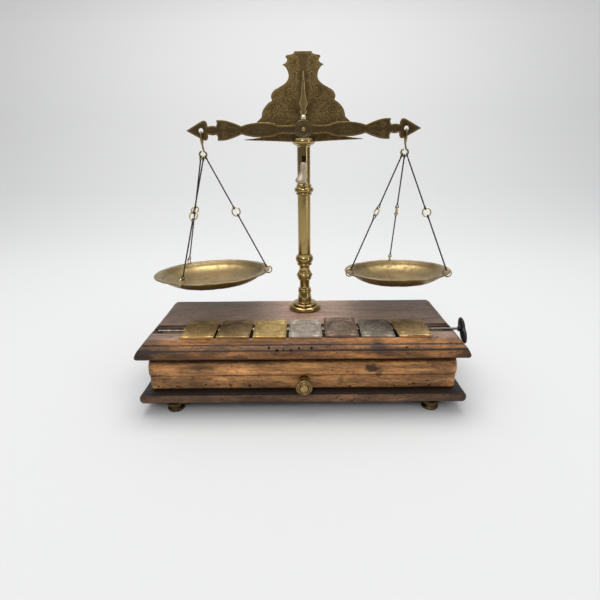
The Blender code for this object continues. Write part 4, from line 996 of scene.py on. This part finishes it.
# ---- Beam ----
# Flat brass sawn to fins and arrow heads, with a cut border line and small scrolls, bored
# near each end for a link. It turns on a brass pin through the fork.
beam_brass = metal("beam_brass", (0.220, 0.148, 0.062), (0.062, 0.042, 0.020), amount=0.50, lines=0.0,
                   cut=(0.30, 0.215, 0.09), bump=0.45)
BEAM = [(0.0, 4.4), (10.0, 4.1), (22.6, 3.8), (28.0, 5.6), (33.8, 6.5), (45.8, 6.5), (54.4, 5.2),
        (59.6, 3.7, 1), (64.0, 5.6), (69.2, 7.4), (75.0, 8.9), (80.0, 9.3), (83.0, 8.8), (82.6, 6.4),
        (83.6, 3.8, 1), (87.4, 4.4), (91.8, 3.6, 1), (92.2, 6.6), (93.6, 8.6), (95.4, 8.9), (98.6, 7.6),
        (112.6, 0.0, 1)]
upper = rounded(BEAM, 4)
right_side = upper + [(x, -z) for x, z in reversed(upper[:-1])]
beam_outline = right_side + [(-x, z) for x, z in reversed(right_side)][1:-1]
marks = []
for sx in (-1, 1):
    for sz in (-1, 1):
        marks.append([(sx * x, sz * z) for x, z in curl(76.0, 3.6, 3.2, 1.9, 180, -1)])
        marks.append([(sx * x, sz * z) for x, z in stroke(62.0, 0.6, 72.0, 2.6, 1.0)])
        marks.append([(sx * x, sz * z) for x, z in stroke(30.0, 0.5, 54.0, 0.5, 2.6)])
        marks.append([(sx * x, sz * z) for x, z in stroke(36.0, 0.4, 48.0, 0.4, 1.6)])
beam = engraved_plate("beam_sawn", beam_outline, 0.48, 2.2, burin(marks, 0.26, 0.10, 1.1), pivot, -1.1,
                      beam_brass, edge=0.45)
arm = 0.0984
eye_holes = []
for sx in (-1, 1):
    eye_holes.append(object_from("eye_hole", lathe([(0, 4), (2.35, 4, 1), (2.35, -4, 1), (0, -4)],
                                                   pivot + Vector((sx * arm, 0, 0)), 32, "Y", 1), beam_brass))
hollowed(beam, eye_holes)
fitted(beam, "balance", "dark_brass", "beam")
PIN = [(0.0, 5.9), (0.7, 5.85), (1.5, 5.6), (2.0, 5.1), (2.1, 4.6), (2.1, -5.0), (1.6, -5.6), (0.0, -5.6)]
pin = object_from("pin_turned", lathe(PIN, pivot, 40, "Y", 3), knob_brass)
fitted(pin, "balance", "brass", "pivot_pin")

# ---- Pointer ----
# A filed brass blade with a line cut down its middle, standing on a small turned ball
# over the pivot.
POINTER = [(0.0, 50.8, 1), (0.55, 48.5), (1.0, 45.0), (1.5, 38.0), (2.1, 31.0), (3.2, 25.6), (4.2, 22.6, 1),
           (3.1, 20.0), (2.5, 17.6), (3.5, 15.4, 1), (2.4, 13.6), (1.6, 12.2), (1.4, 10.0, 1), (0.0, 10.0)]
blade_brass = metal("blade_brass", (0.50, 0.36, 0.16), (0.17, 0.118, 0.055), amount=0.45, lines=0.0,
                    cut=(0.05, 0.034, 0.015))
blade = engraved_plate("pointer_filed", mirrored(rounded(POINTER, 4)), 0.45, 1.2,
                       burin([[(0, z / 4) for z in range(56, 176)]], 0.3, 0.10), pivot, -0.6, blade_brass,
                       edge=0.6)
BALL = [(0.0, 13.2), (1.0, 13.05), (1.9, 12.6), (2.8, 11.6), (3.1, 10.4), (2.7, 9.0), (1.9, 8.1),
        (1.4, 7.9, 1), (1.9, 7.6), (2.1, 7.1), (1.9, 6.6), (1.2, 6.3, 1), (1.1, 4.7, 1), (0.0, 4.7)]
# The ball's brass is painted much paler than the other brass: a painted highlight for the light it catches.
lit_ball_brass = metal("lit_ball_brass", (0.80, 0.70, 0.50), (0.46, 0.38, 0.24), amount=0.25, lines=0.2)
ball = object_from("pointer_ball", lathe(BALL, pivot, 40, "Z", 3), lit_ball_brass)
fitted(blade, "balance", "dark_brass", "pointer")
fitted(ball, "balance", "dark_brass")

# ---- Weights ----
# Seven struck plaques of different metals, each with its own rosette in a beaded ring,
# and two legs under it that straddle the rod.
PLAQUES = (("weight_brass_a", (0.86, 0.610, 0.260), (0.56, 0.385, 0.160), (0.09, 0.060, 0.025), 8, "brass"),
           ("weight_brass_b", (0.56, 0.395, 0.185), (0.30, 0.205, 0.098), (0.055, 0.036, 0.018), 6,
            "dark_brass"),
           ("weight_brass_c", (0.78, 0.560, 0.225), (0.44, 0.310, 0.125), (0.09, 0.060, 0.024), 10, "brass"),
           ("weight_tin", (0.80, 0.715, 0.61), (0.52, 0.460, 0.39), (0.07, 0.060, 0.049), 8, "tin"),
           ("weight_copper", (0.44, 0.315, 0.240), (0.225, 0.158, 0.122), (0.03, 0.021, 0.016), 12, "copper"),
           ("weight_lead", (0.60, 0.540, 0.440), (0.31, 0.276, 0.222), (0.045, 0.040, 0.032), 6, "steel"),
           ("weight_brass_d", (0.80, 0.580, 0.280), (0.45, 0.325, 0.160), (0.09, 0.063, 0.032), 9, "brass"))
TURNS = (1.2, -0.8, 0.6, -0.5, 0.0, -1.0, 1.4)


def brazed(obj, others):
    """Joins the other pieces to obj as one."""
    joined = bmesh.new()
    for part in [obj] + others:
        joined.from_mesh(part.data)
    joined.to_mesh(obj.data)
    joined.free()
    for part in others:
        bpy.data.objects.remove(part, do_unlink=True)


def rosette(petals, seed, speckle):
    """A struck pattern: petals, two rings with beads between, and leaf curls in the corners."""

    def carve(points, away):
        x, z = points[:, 0], points[:, 1]
        r = np.hypot(x, z)
        a = np.arctan2(z, x)
        deep = np.zeros(len(points))
        for ring in (3.2, 10.6, 13.4):
            deep = np.maximum(deep, np.clip(1 - ((r - ring) / 0.32) ** 2, 0, 1))
        petal = np.abs(np.cos(a * petals / 2 + seed)) * 6.4 + 3.4
        deep = np.maximum(deep, np.clip(1 - ((r - petal) / 0.34) ** 2, 0, 1))
        vein = np.abs(np.sin(a * petals / 2 + seed)) * r
        deep = np.maximum(deep, np.clip(1 - (vein / 0.3) ** 2, 0, 1) * ((r > 4.2) & (r < 9.2)))
        bead = np.cos(a * 34) * np.clip(1 - ((r - 12.0) / 0.9) ** 2, 0, 1)
        deep = np.maximum(deep, np.clip(-bead, 0, 1))
        corner = np.hypot(np.abs(x) - 11.2, np.abs(z) - 15.4)
        swirl = np.cos(3.4 * corner - 2 * np.arctan2(np.abs(z) - 15.4, np.abs(x) - 11.2))
        deep = np.maximum(deep, np.clip(swirl * 1.6 - 0.6, 0, 1) * ((r > 14.2) & (corner < 5.0)))
        outside = (r > 14.2) & (corner >= 5.0)
        side = np.clip(np.cos(2.1 * np.abs(z) + 0.8 * seed) * 1.4 - 0.5, 0, 1) * outside
        deep = np.maximum(deep, side)
        deep = np.maximum(deep, np.clip(1 - ((away - 1.0) / 0.25) ** 2, 0, 1))
        field = ((r > 10.6) & (r < 13.4)) * 0.35 + (r < 3.2) * 0.3 + outside * 0.3
        field = np.maximum(field, 0.28 * np.clip((vein - 1.4) / 1.2, 0, 1) * ((r > 3.4) & (r < 10.4)))
        deep = np.maximum(deep, field)
        waves = np.sin(x * 3.9 + seed + 1.2 * np.sin(z * 1.7)) * np.sin(z * 4.3 - x * 1.1)
        grit = np.clip(0.2 + 1.6 * waves, 0, 1)
        return 0.26 * deep + 0.10 * grit * speckle, np.clip(deep * 0.95 + grit * speckle, 0, 1)

    return carve


PITCH = 34.0
MIDDLE = 3.4
outline = [(-15.5, -19.25), (15.5, -19.25), (15.5, 19.25), (-15.5, 19.25)]
for i, (label, bright, dull, cut, petals, slot) in enumerate(PLAQUES):
    name = "weight_%d" % (i + 1)
    finish = metal(label, bright, dull, amount=0.45, lines=0.0, shift=(0.1 * i, 0, 0), cut=cut, bump=0.6,
                   rougher=0.10)
    # the copper one isn't seated: it lies a little back, raised and tilted
    back, up, lean = (1.2, 1.1, 3.0) if label == "weight_copper" else (0.0, 0.0, 0.0)
    seat = from_box(MIDDLE + PITCH * (i - 3), -26.8 + back, 69.3 + up)
    tilt = Matrix.Rotation(math.radians(TURNS[i]), 4, "Z") @ Matrix.Rotation(math.radians(lean), 4, "X")
    lay_flat = tilt @ Matrix.Rotation(-math.pi / 2, 4, "X")
    speckle = 0.22 if slot in ("brass", "dark_brass") else 0.75
    plaque = engraved_plate(name + "_struck", outline, 0.36, 2.4, rosette(petals, 0.7 * i, speckle), seat,
                            -2.4, finish, spin=lay_flat, edge=0.4)
    legs = []
    to_rod = 4.8 - back
    for y0, y1 in ((-4.3, -1.9), (1.9, 4.3)):
        low, high = Vector((-4, to_rod + y0, -3.4)) / 1000, Vector((4, to_rod + y1, 0.1)) / 1000
        leg = block("leg", low, high, finish, 0.2)
        leg.data.transform(Matrix.Translation(seat) @ tilt)
        legs.append(leg)
    brazed(plaque, legs)
    fitted(plaque, "plaque_%d" % (i + 1), slot, name)


# ---- Lock rod ----
# A drawn steel rod that slides under the weights, between their legs. A forged iron
# wing on a small boss ends it outside the box.
def wire(path, radius, sides=10, closed=False):
    """A round wire of that radius along the path, all in metres."""
    bm = bmesh.new()
    pts = [Vector(p) for p in path]
    count = len(pts)
    rows = []
    side = None
    for i, p in enumerate(pts):
        if closed:
            along = (pts[(i + 1) % count] - pts[i - 1]).normalized()
        else:
            along = (pts[min(i + 1, count - 1)] - pts[max(i - 1, 0)]).normalized()
        if side is None:
            side = along.orthogonal()
        side = (side - along * side.dot(along)).normalized()
        up = along.cross(side)
        rows.append([bm.verts.new(p + radius * (math.cos(a) * side + math.sin(a) * up))
                     for a in (math.tau * k / sides for k in range(sides))])
    bridge(bm, rows, True, closed)
    return bm


def eased(points, steps=4):
    """A smooth 3-D line through the points."""
    pts = [Vector(p) for p in points]
    out = []
    for i in range(len(pts) - 1):
        a, b = pts[i], pts[i + 1]
        ma = (b - pts[i - 1]) / 2 if i else b - a
        mb = (pts[i + 2] - a) / 2 if i + 2 < len(pts) else b - a
        for k in range(steps):
            t = k / steps
            out.append((2 * t**3 - 3 * t**2 + 1) * a + (t**3 - 2 * t**2 + t) * ma + (3 * t**2 - 2 * t**3) * b
                       + (t**3 - t**2) * mb)
    return out + [pts[-1]]


lock_steel = metal("lock_steel", (0.34, 0.30, 0.27), (0.14, 0.110, 0.090), amount=0.5, lines=0.0)
low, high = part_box("lock_rod")
rod_y, rod_z = (low.y + high.y) / 2, (low.z + high.z) / 2
rod_path = [Vector((low.x + (high.x - low.x) * t, rod_y, rod_z)) for t in np.linspace(0, 1, 50)]
rod = object_from("lock_rod_drawn", wire(rod_path, 0.00125, 20), lock_steel)
fitted(rod, "lock", "steel", "lock_rod")
wing_iron = metal("wing_iron", (0.050, 0.045, 0.043), (0.018, 0.016, 0.015), amount=0.5, lines=0.0, bump=0.9,
                  rougher=0.15, metallic=0.6)
bm = bmesh.new()
rows = []
for x, scale in ((-1.75, 0.70), (-1.45, 0.90), (-0.8, 0.99), (0.0, 1.0), (0.8, 0.99), (1.45, 0.90),
                 (1.75, 0.70)):
    row = []
    for k in range(40):
        a = math.tau * k / 40
        long = 14.0 * math.cos(a)
        wide = 6.9 * math.sin(a) * (1.0 - 0.36 * math.exp(-(long / 4.0) ** 2)) * (1 + 0.10 * math.cos(a))
        thin = 0.95 + 0.15 * math.exp(-(long / 5.0) ** 2)
        row.append(bm.verts.new((x * thin, long * scale, wide * scale)))
    rows.append(row)
bridge(bm, rows)
bmesh.ops.rotate(bm, verts=bm.verts, matrix=Matrix.Rotation(math.radians(40), 3, "X"))
bmesh.ops.translate(bm, verts=bm.verts, vec=(0, -3.0, -0.5))
low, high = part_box("rod_wing")
wing_mid = Vector((high.x - 0.00175, rod_y, rod_z))
for v in bm.verts:
    v.co = v.co / 1000 + wing_mid
wing = object_from("wing_forged", bm, wing_iron, 60)
soften = wing.modifiers.new("soften", "SUBSURF")
soften.levels = soften.render_levels = 1
BOSS = [(0, 0.6), (2.3, 0.6), (2.6, 0.2), (2.6, -3.0), (2.3, -3.4), (0, -3.4)]
boss = object_from("boss", lathe(BOSS, wing_mid, 28, "X", 2), wing_iron)
hollowed(wing, [boss], "UNION")
fitted(wing, "lock", "iron", "rod_wing")

# ---- Rod guides ----
# Eight eyes of bent brass wire riveted to a thin brass strip, which is nailed down in the
# bottom of the trough.
def guide_tree():
    """Geometry nodes: copies of the eye along X at even spacing."""
    tree = bpy.data.node_groups.new("guide_row", "GeometryNodeTree")
    tree.interface.new_socket("Geometry", in_out="INPUT", socket_type="NodeSocketGeometry")
    count = tree.interface.new_socket("Count", in_out="INPUT", socket_type="NodeSocketInt")
    pitch_in = tree.interface.new_socket("Spacing", in_out="INPUT", socket_type="NodeSocketFloat")
    metal_in = tree.interface.new_socket("Finish", in_out="INPUT", socket_type="NodeSocketMaterial")
    tree.interface.new_socket("Geometry", in_out="OUTPUT", socket_type="NodeSocketGeometry")
    given = tree.nodes.new("NodeGroupInput").outputs
    result = tree.nodes.new("NodeGroupOutput").inputs
    offset = tree.nodes.new("ShaderNodeCombineXYZ")
    tree.links.new(given["Spacing"], offset.inputs[0])
    line = tree.nodes.new("GeometryNodeMeshLine")
    tree.links.new(given["Count"], line.inputs["Count"])
    tree.links.new(offset.outputs[0], line.inputs["Offset"])
    spread = tree.nodes.new("GeometryNodeInstanceOnPoints")
    tree.links.new(line.outputs[0], spread.inputs["Points"])
    tree.links.new(given["Geometry"], spread.inputs["Instance"])
    real = tree.nodes.new("GeometryNodeRealizeInstances")
    tree.links.new(spread.outputs[0], real.inputs[0])
    paint = tree.nodes.new("GeometryNodeSetMaterial")
    tree.links.new(real.outputs[0], paint.inputs["Geometry"])
    tree.links.new(given["Finish"], paint.inputs["Material"])
    tree.links.new(paint.outputs[0], result[0])
    return tree, count.identifier, pitch_in.identifier, metal_in.identifier


guide_brass = metal("guide_brass", (0.55, 0.45, 0.27), (0.24, 0.18, 0.09), amount=0.35)
eye_wire = [Vector((0.25 * math.sin(a), 2.35 * math.sin(a), -2.35 * math.cos(a))) / 1000
            for a in np.linspace(0.12, math.tau - 0.12, 26)]
eye_bm = wire(eye_wire, 0.0007, 8)
guides = object_from("guide_eyes", eye_bm, guide_brass)
tree, count_id, spacing_id, finish_id = guide_tree()
repeat = guides.modifiers.new("repeat", "NODES")
repeat.node_group = tree
repeat[count_id] = 8
repeat[spacing_id] = PITCH / 1000
repeat[finish_id] = guide_brass
hollowed(guides, [])
guides.data.transform(Matrix.Translation(Vector((from_box(MIDDLE - 3.5 * PITCH, 0, 0).x, rod_y, rod_z))))
low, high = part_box("rod_guide")
strip_thick = 0.00075
strip = block("guide_strip", low, Vector((high.x, high.y, low.z + strip_thick)), guide_brass, 0.15)
brazed(guides, [strip])
fitted(guides, "box", "brass", "rod_guide")


# ---- Suspension ----
# On each side a bent brass link hangs in the beam's eye. Three twisted iron wires hang
# from it, each with a brass ring half way and another through a hole in the pan's rim.
def twist_tree():
    """Geometry nodes: two strands laid round each other, from the origin up Z."""
    tree = bpy.data.node_groups.new("twisted_pair", "GeometryNodeTree")
    ids = {}
    for label, kind in (("Length", "Float"), ("Strand", "Float"), ("Lay", "Float"), ("Turns", "Float"),
                        ("Steps", "Int"), ("Finish", "Material")):
        socket = tree.interface.new_socket(label, in_out="INPUT", socket_type="NodeSocket" + kind)
        ids[label] = socket.identifier
    tree.interface.new_socket("Geometry", in_out="OUTPUT", socket_type="NodeSocketGeometry")
    given = tree.nodes.new("NodeGroupInput").outputs
    result = tree.nodes.new("NodeGroupOutput").inputs
    top = tree.nodes.new("ShaderNodeCombineXYZ")
    tree.links.new(given["Length"], top.inputs[2])
    line = tree.nodes.new("GeometryNodeCurvePrimitiveLine")
    tree.links.new(top.outputs[0], line.inputs["End"])
    even = tree.nodes.new("GeometryNodeResampleCurve")
    tree.links.new(line.outputs[0], even.inputs["Curve"])
    tree.links.new(given["Steps"], even.inputs["Count"])
    share = tree.nodes.new("GeometryNodeSplineParameter").outputs["Factor"]
    ring = tree.nodes.new("GeometryNodeCurvePrimitiveCircle")
    ring.inputs["Resolution"].default_value = 8
    tree.links.new(given["Strand"], ring.inputs["Radius"])
    both = tree.nodes.new("GeometryNodeJoinGeometry")
    for start in (0.0, math.pi):
        angle = sums(tree, "MULTIPLY_ADD", share, sums(tree, "MULTIPLY", given["Turns"], math.tau), start)
        along_x = sums(tree, "MULTIPLY", sums(tree, "COSINE", angle), given["Lay"])
        along_y = sums(tree, "MULTIPLY", sums(tree, "SINE", angle), given["Lay"])
        shift = put(tree, "ShaderNodeCombineXYZ", {0: along_x, 1: along_y})
        moved = tree.nodes.new("GeometryNodeSetPosition")
        tree.links.new(even.outputs[0], moved.inputs["Geometry"])
        tree.links.new(shift.outputs[0], moved.inputs["Offset"])
        solid = tree.nodes.new("GeometryNodeCurveToMesh")
        tree.links.new(moved.outputs[0], solid.inputs["Curve"])
        tree.links.new(ring.outputs[0], solid.inputs["Profile Curve"])
        solid.inputs["Fill Caps"].default_value = True
        tree.links.new(solid.outputs[0], both.inputs[0])
    real = tree.nodes.new("GeometryNodeRealizeInstances")
    tree.links.new(both.outputs[0], real.inputs[0])
    paint = tree.nodes.new("GeometryNodeSetMaterial")
    tree.links.new(real.outputs[0], paint.inputs["Geometry"])
    tree.links.new(given["Finish"], paint.inputs["Material"])
    tree.links.new(paint.outputs[0], result[0])
    return tree, ids


black_wire = metal("black_wire", (0.030, 0.025, 0.021), (0.010, 0.008, 0.007), amount=0.5, lines=0.0,
                   bump=0.5, rougher=0.2, metallic=0.4)
ring_brass = metal("ring_brass", (0.62, 0.47, 0.21), (0.27, 0.195, 0.085), amount=0.35, lines=0.0)
link_brass = metal("link_brass", (0.40, 0.30, 0.13), (0.13, 0.095, 0.042), amount=0.45, lines=0.0)
pan_brass = metal("pan_brass", (0.335, 0.243, 0.110), (0.150, 0.111, 0.056), amount=0.42, lines=0.05,
                  bump=0.5, rougher=0.08)
twisted_pair, twist_ids = twist_tree()


def loop_of(centre, out, normal, r, reach):
    """A teardrop eye, both ends meeting on the shaft, which leaves along out."""
    side = normal.cross(out).normalized()
    foot_point = centre + out * (r + reach)
    neck = centre + out * (r * 0.95 + reach * 0.35)
    apart, pinch = side * 0.00030, side * r * 0.42
    pts = [foot_point + apart, neck + pinch]
    for k in range(15):
        a = math.radians(48 + (312 - 48) * k / 14)
        pts.append(centre + r * (math.cos(a) * out + math.sin(a) * side))
    pts += [neck - pinch, foot_point - apart]
    return eased(pts, 2)


def twisted_wire(name, top, top_normal, top_r, low, low_normal, low_r):
    """A wire with a teardrop eye at each end and its two strands twisted together between."""
    d = (low - top).normalized()
    reach, overlap, pitch = 0.0026, 0.0004, 0.0040
    start, end = top + d * (top_r + reach - overlap), low - d * (low_r + reach - overlap)
    obj = object_from(name, bmesh.new(), black_wire)
    laid = obj.modifiers.new("laid", "NODES")
    laid.node_group = twisted_pair
    length = (end - start).length
    for label, value in (("Length", length), ("Strand", 0.00044), ("Lay", 0.00036), ("Turns", length / pitch),
                         ("Steps", int(length / 0.00042)), ("Finish", black_wire)):
        laid[twist_ids[label]] = value
    hollowed(obj, [])
    obj.data.transform(Matrix.Translation(start) @ d.to_track_quat("Z", "Y").to_matrix().to_4x4())
    joined = bmesh.new()
    joined.from_mesh(obj.data)
    for centre, out, normal, r in ((top, d, top_normal, top_r), (low, -d, low_normal, low_r)):
        eye_mesh = bpy.data.meshes.new("eye")
        piece = wire(loop_of(centre, out, normal, r, reach), 0.00050, 8)
        bmesh.ops.recalc_face_normals(piece, faces=piece.faces)
        piece.to_mesh(eye_mesh)
        piece.free()
        joined.from_mesh(eye_mesh)
    joined.to_mesh(obj.data)
    joined.free()
    for face in obj.data.polygons:
        face.use_smooth = True
    obj.data.materials.clear()
    obj.data.materials.append(black_wire)
    return obj


# for each side: its sign, the pan's radius, how it leans, where its holes are, how long
# the upper wires are and how thick the rim is, in millimetres and degrees
PANS = {"left": (-1, 60.9, 3.5, 1.4, (352.0, 129.0, 253.5), (54.3, 55.8, 54.3), 1.1),
        "right": (1, 55.1, 4.6, 1.3, (322.0, 86.0, 198.5), (54.3, 56.8, 54.3), 1.35)}
FACE_ON = (("left", 0), ("right", 0), ("right", 1))
RIM_HEIGHT = 0.113
KNOT_R, RING_R, RIM_RING_R, RING_REACH = 3.4, 0.0042, 0.0039, 0.00435
# the bowl as (share of the radius, height), first the inside, then the outside
BOWL_INSIDE = ((0.0, -12.6), (0.34, -12.4), (0.54, -11.4), (0.70, -9.2), (0.82, -5.6), (0.868, -2.4),
               (0.890, -0.9), (0.898, -0.25), (0.910, 0.0), (0.935, -0.06), (0.985, 0.0), (0.996, -0.12),
               (1.0, -0.45), (1.0, -0.85))
BOWL_EDGE = ((0.996, 0.08), (0.990, 0.0), (0.908, -0.06), (0.892, -0.5))
BOWL_OUTSIDE = ((0.872, -2.9), (0.814, -6.8), (0.696, -10.4), (0.540, -12.6), (0.34, -13.6), (0.0, -13.8))
for side, (sx, radius, front_up, left_down, angles, upper_lengths, thick) in PANS.items():
    hang = pivot + Vector((sx * arm, 0, 0))
    eye_z = -1.15
    hook_path = [(0, -1.4, -12.2), (0, -2.5, -11.0), (0, -3.1, -8.6), (0, -3.2, -5.0), (0, -2.9, eye_z - 1.4),
                 (0, -2.0, eye_z - 0.3), (0, -0.8, eye_z), (0, 0.8, eye_z), (0, 2.0, eye_z - 0.3),
                 (0, 2.9, eye_z - 1.4), (0, 3.2, -5.0), (0, 3.0, -8.6), (0, 2.0, -11.2), (0, 0.7, -12.8)]
    loop_mid = Vector((0, 0, -21.8))
    for k in range(15):
        a = math.radians(70 - 320 * k / 14)
        hook_path.append(loop_mid + KNOT_R * Vector((math.cos(a), 0, math.sin(a))))
    hook_path = [hang + Vector(p) / 1000 for p in eased(hook_path, 3)]
    hook = object_from("link_" + side, wire(hook_path, 0.0009, 12), link_brass)
    fitted(hook, "link_" + side, "brass", "hook_" + side)

    roll_left = Matrix.Rotation(math.radians(-left_down), 3, "Y")
    turn = roll_left @ Matrix.Rotation(math.radians(-front_up), 3, "X")
    rim = Vector((hang.x, hang.y, RIM_HEIGHT))
    under_rim = tuple((share, z - thick) for share, z in BOWL_EDGE)
    section = [(share * radius, z) for share, z in BOWL_INSIDE + under_rim + BOWL_OUTSIDE]
    bowl_mesh = lathe(section, Vector((0, 0, 0)), 128, "Z", 3)
    for v in bowl_mesh.verts:
        x, y = v.co.x * 1000, v.co.y * 1000
        dent = wobble(x * 2.2, y * 1.9, 1.0 + sx, 0.22)
        dent += 0.10 * math.sin(x * 0.5 + 1.1) * math.sin(y * 0.43 + sx)
        v.co.z += dent / 1000 * min(1.0, math.hypot(x, y) / 30.0)
        v.co = turn @ v.co + rim
    bowl = object_from("bowl_" + side, bowl_mesh, pan_brass, 45)
    punches = []
    for angle in angles:
        a = math.radians(angle)
        punch = lathe([(0, 4), (1.7, 4, 1), (1.7, -6, 1), (0, -6)], Vector((0, 0, 0)), 24, "Z", 1)
        for v in punch.verts:
            v.co = turn @ (v.co + Vector((math.cos(a), math.sin(a), 0)) * (radius - 3.6) / 1000) + rim
        punches.append(object_from("punch", punch, pan_brass))
    hollowed(bowl, punches)
    bowl.data.set_sharp_from_angle(angle=math.radians(45))
    fitted(bowl, "bowl_" + side, "brass", "pan_" + side)

    order = sorted(range(3), key=lambda i: math.cos(math.radians(angles[i])))
    for i in range(3):
        az = math.radians(angles[i])
        swing = math.radians(-90 + 46 * (order.index(i) - 1))
        knot = hang + (loop_mid + KNOT_R * Vector((math.cos(swing), 0, math.sin(swing)))) / 1000
        strand = Vector((-math.sin(swing), 0, math.cos(swing)))
        radial = turn @ Vector((math.cos(az), math.sin(az), 0))
        upward = turn @ Vector((0, 0, 1))
        across = radial.cross(upward)
        rim_eye = rim + (radial * (radius - 0.3) + upward * (2.5 - thick)) / 1000
        d = (rim_eye - knot).normalized()
        n_top = (strand - d * d.dot(strand)).normalized()
        n_low = (across - d * d.dot(across)).normalized()
        flat_low = d.cross(n_low)
        facing = flat_low if (side, i) in FACE_ON else n_low
        top_eye = knot + d * 0.00035
        mid_eye = top_eye + d * upper_lengths[i] / 1000
        ring_mid = mid_eye + d * RING_REACH
        low_eye = ring_mid + d * RING_REACH
        leg = "%s_%d" % (side, i + 1)
        round_angles = [math.tau * k / 40 for k in range(40)]
        ring_path = [ring_mid + RING_R * (math.cos(a) * d + math.sin(a) * facing) for a in round_angles]
        ring = object_from("ring_%s_mid" % leg, wire(ring_path, 0.00068, 12, True), ring_brass)
        fitted(ring, "bowl_" + side, "brass", "ring_" + leg)
        rim_path = [rim_eye + RIM_RING_R * (math.cos(a) * d + math.sin(a) * flat_low) for a in round_angles]
        rim_ring = object_from("ring_%s_rim" % leg, wire(rim_path, 0.00066, 12, True), ring_brass)
        fitted(rim_ring, "bowl_" + side, "brass")
        top_of_rim = rim_eye - d * 0.0043
        upper_wire = twisted_wire("wire_%s_top" % leg, top_eye, n_top, 0.0019, mid_eye, facing, 0.0015)
        fitted(upper_wire, "bowl_" + side, "wire", "wire_%s_upper_%d" % (side, i + 1))
        lower_wire = twisted_wire("wire_%s_low" % leg, low_eye, facing, 0.0015, top_of_rim, flat_low, 0.0015)
        fitted(lower_wire, "bowl_" + side, "wire", "wire_%s_lower_%d" % (side, i + 1))
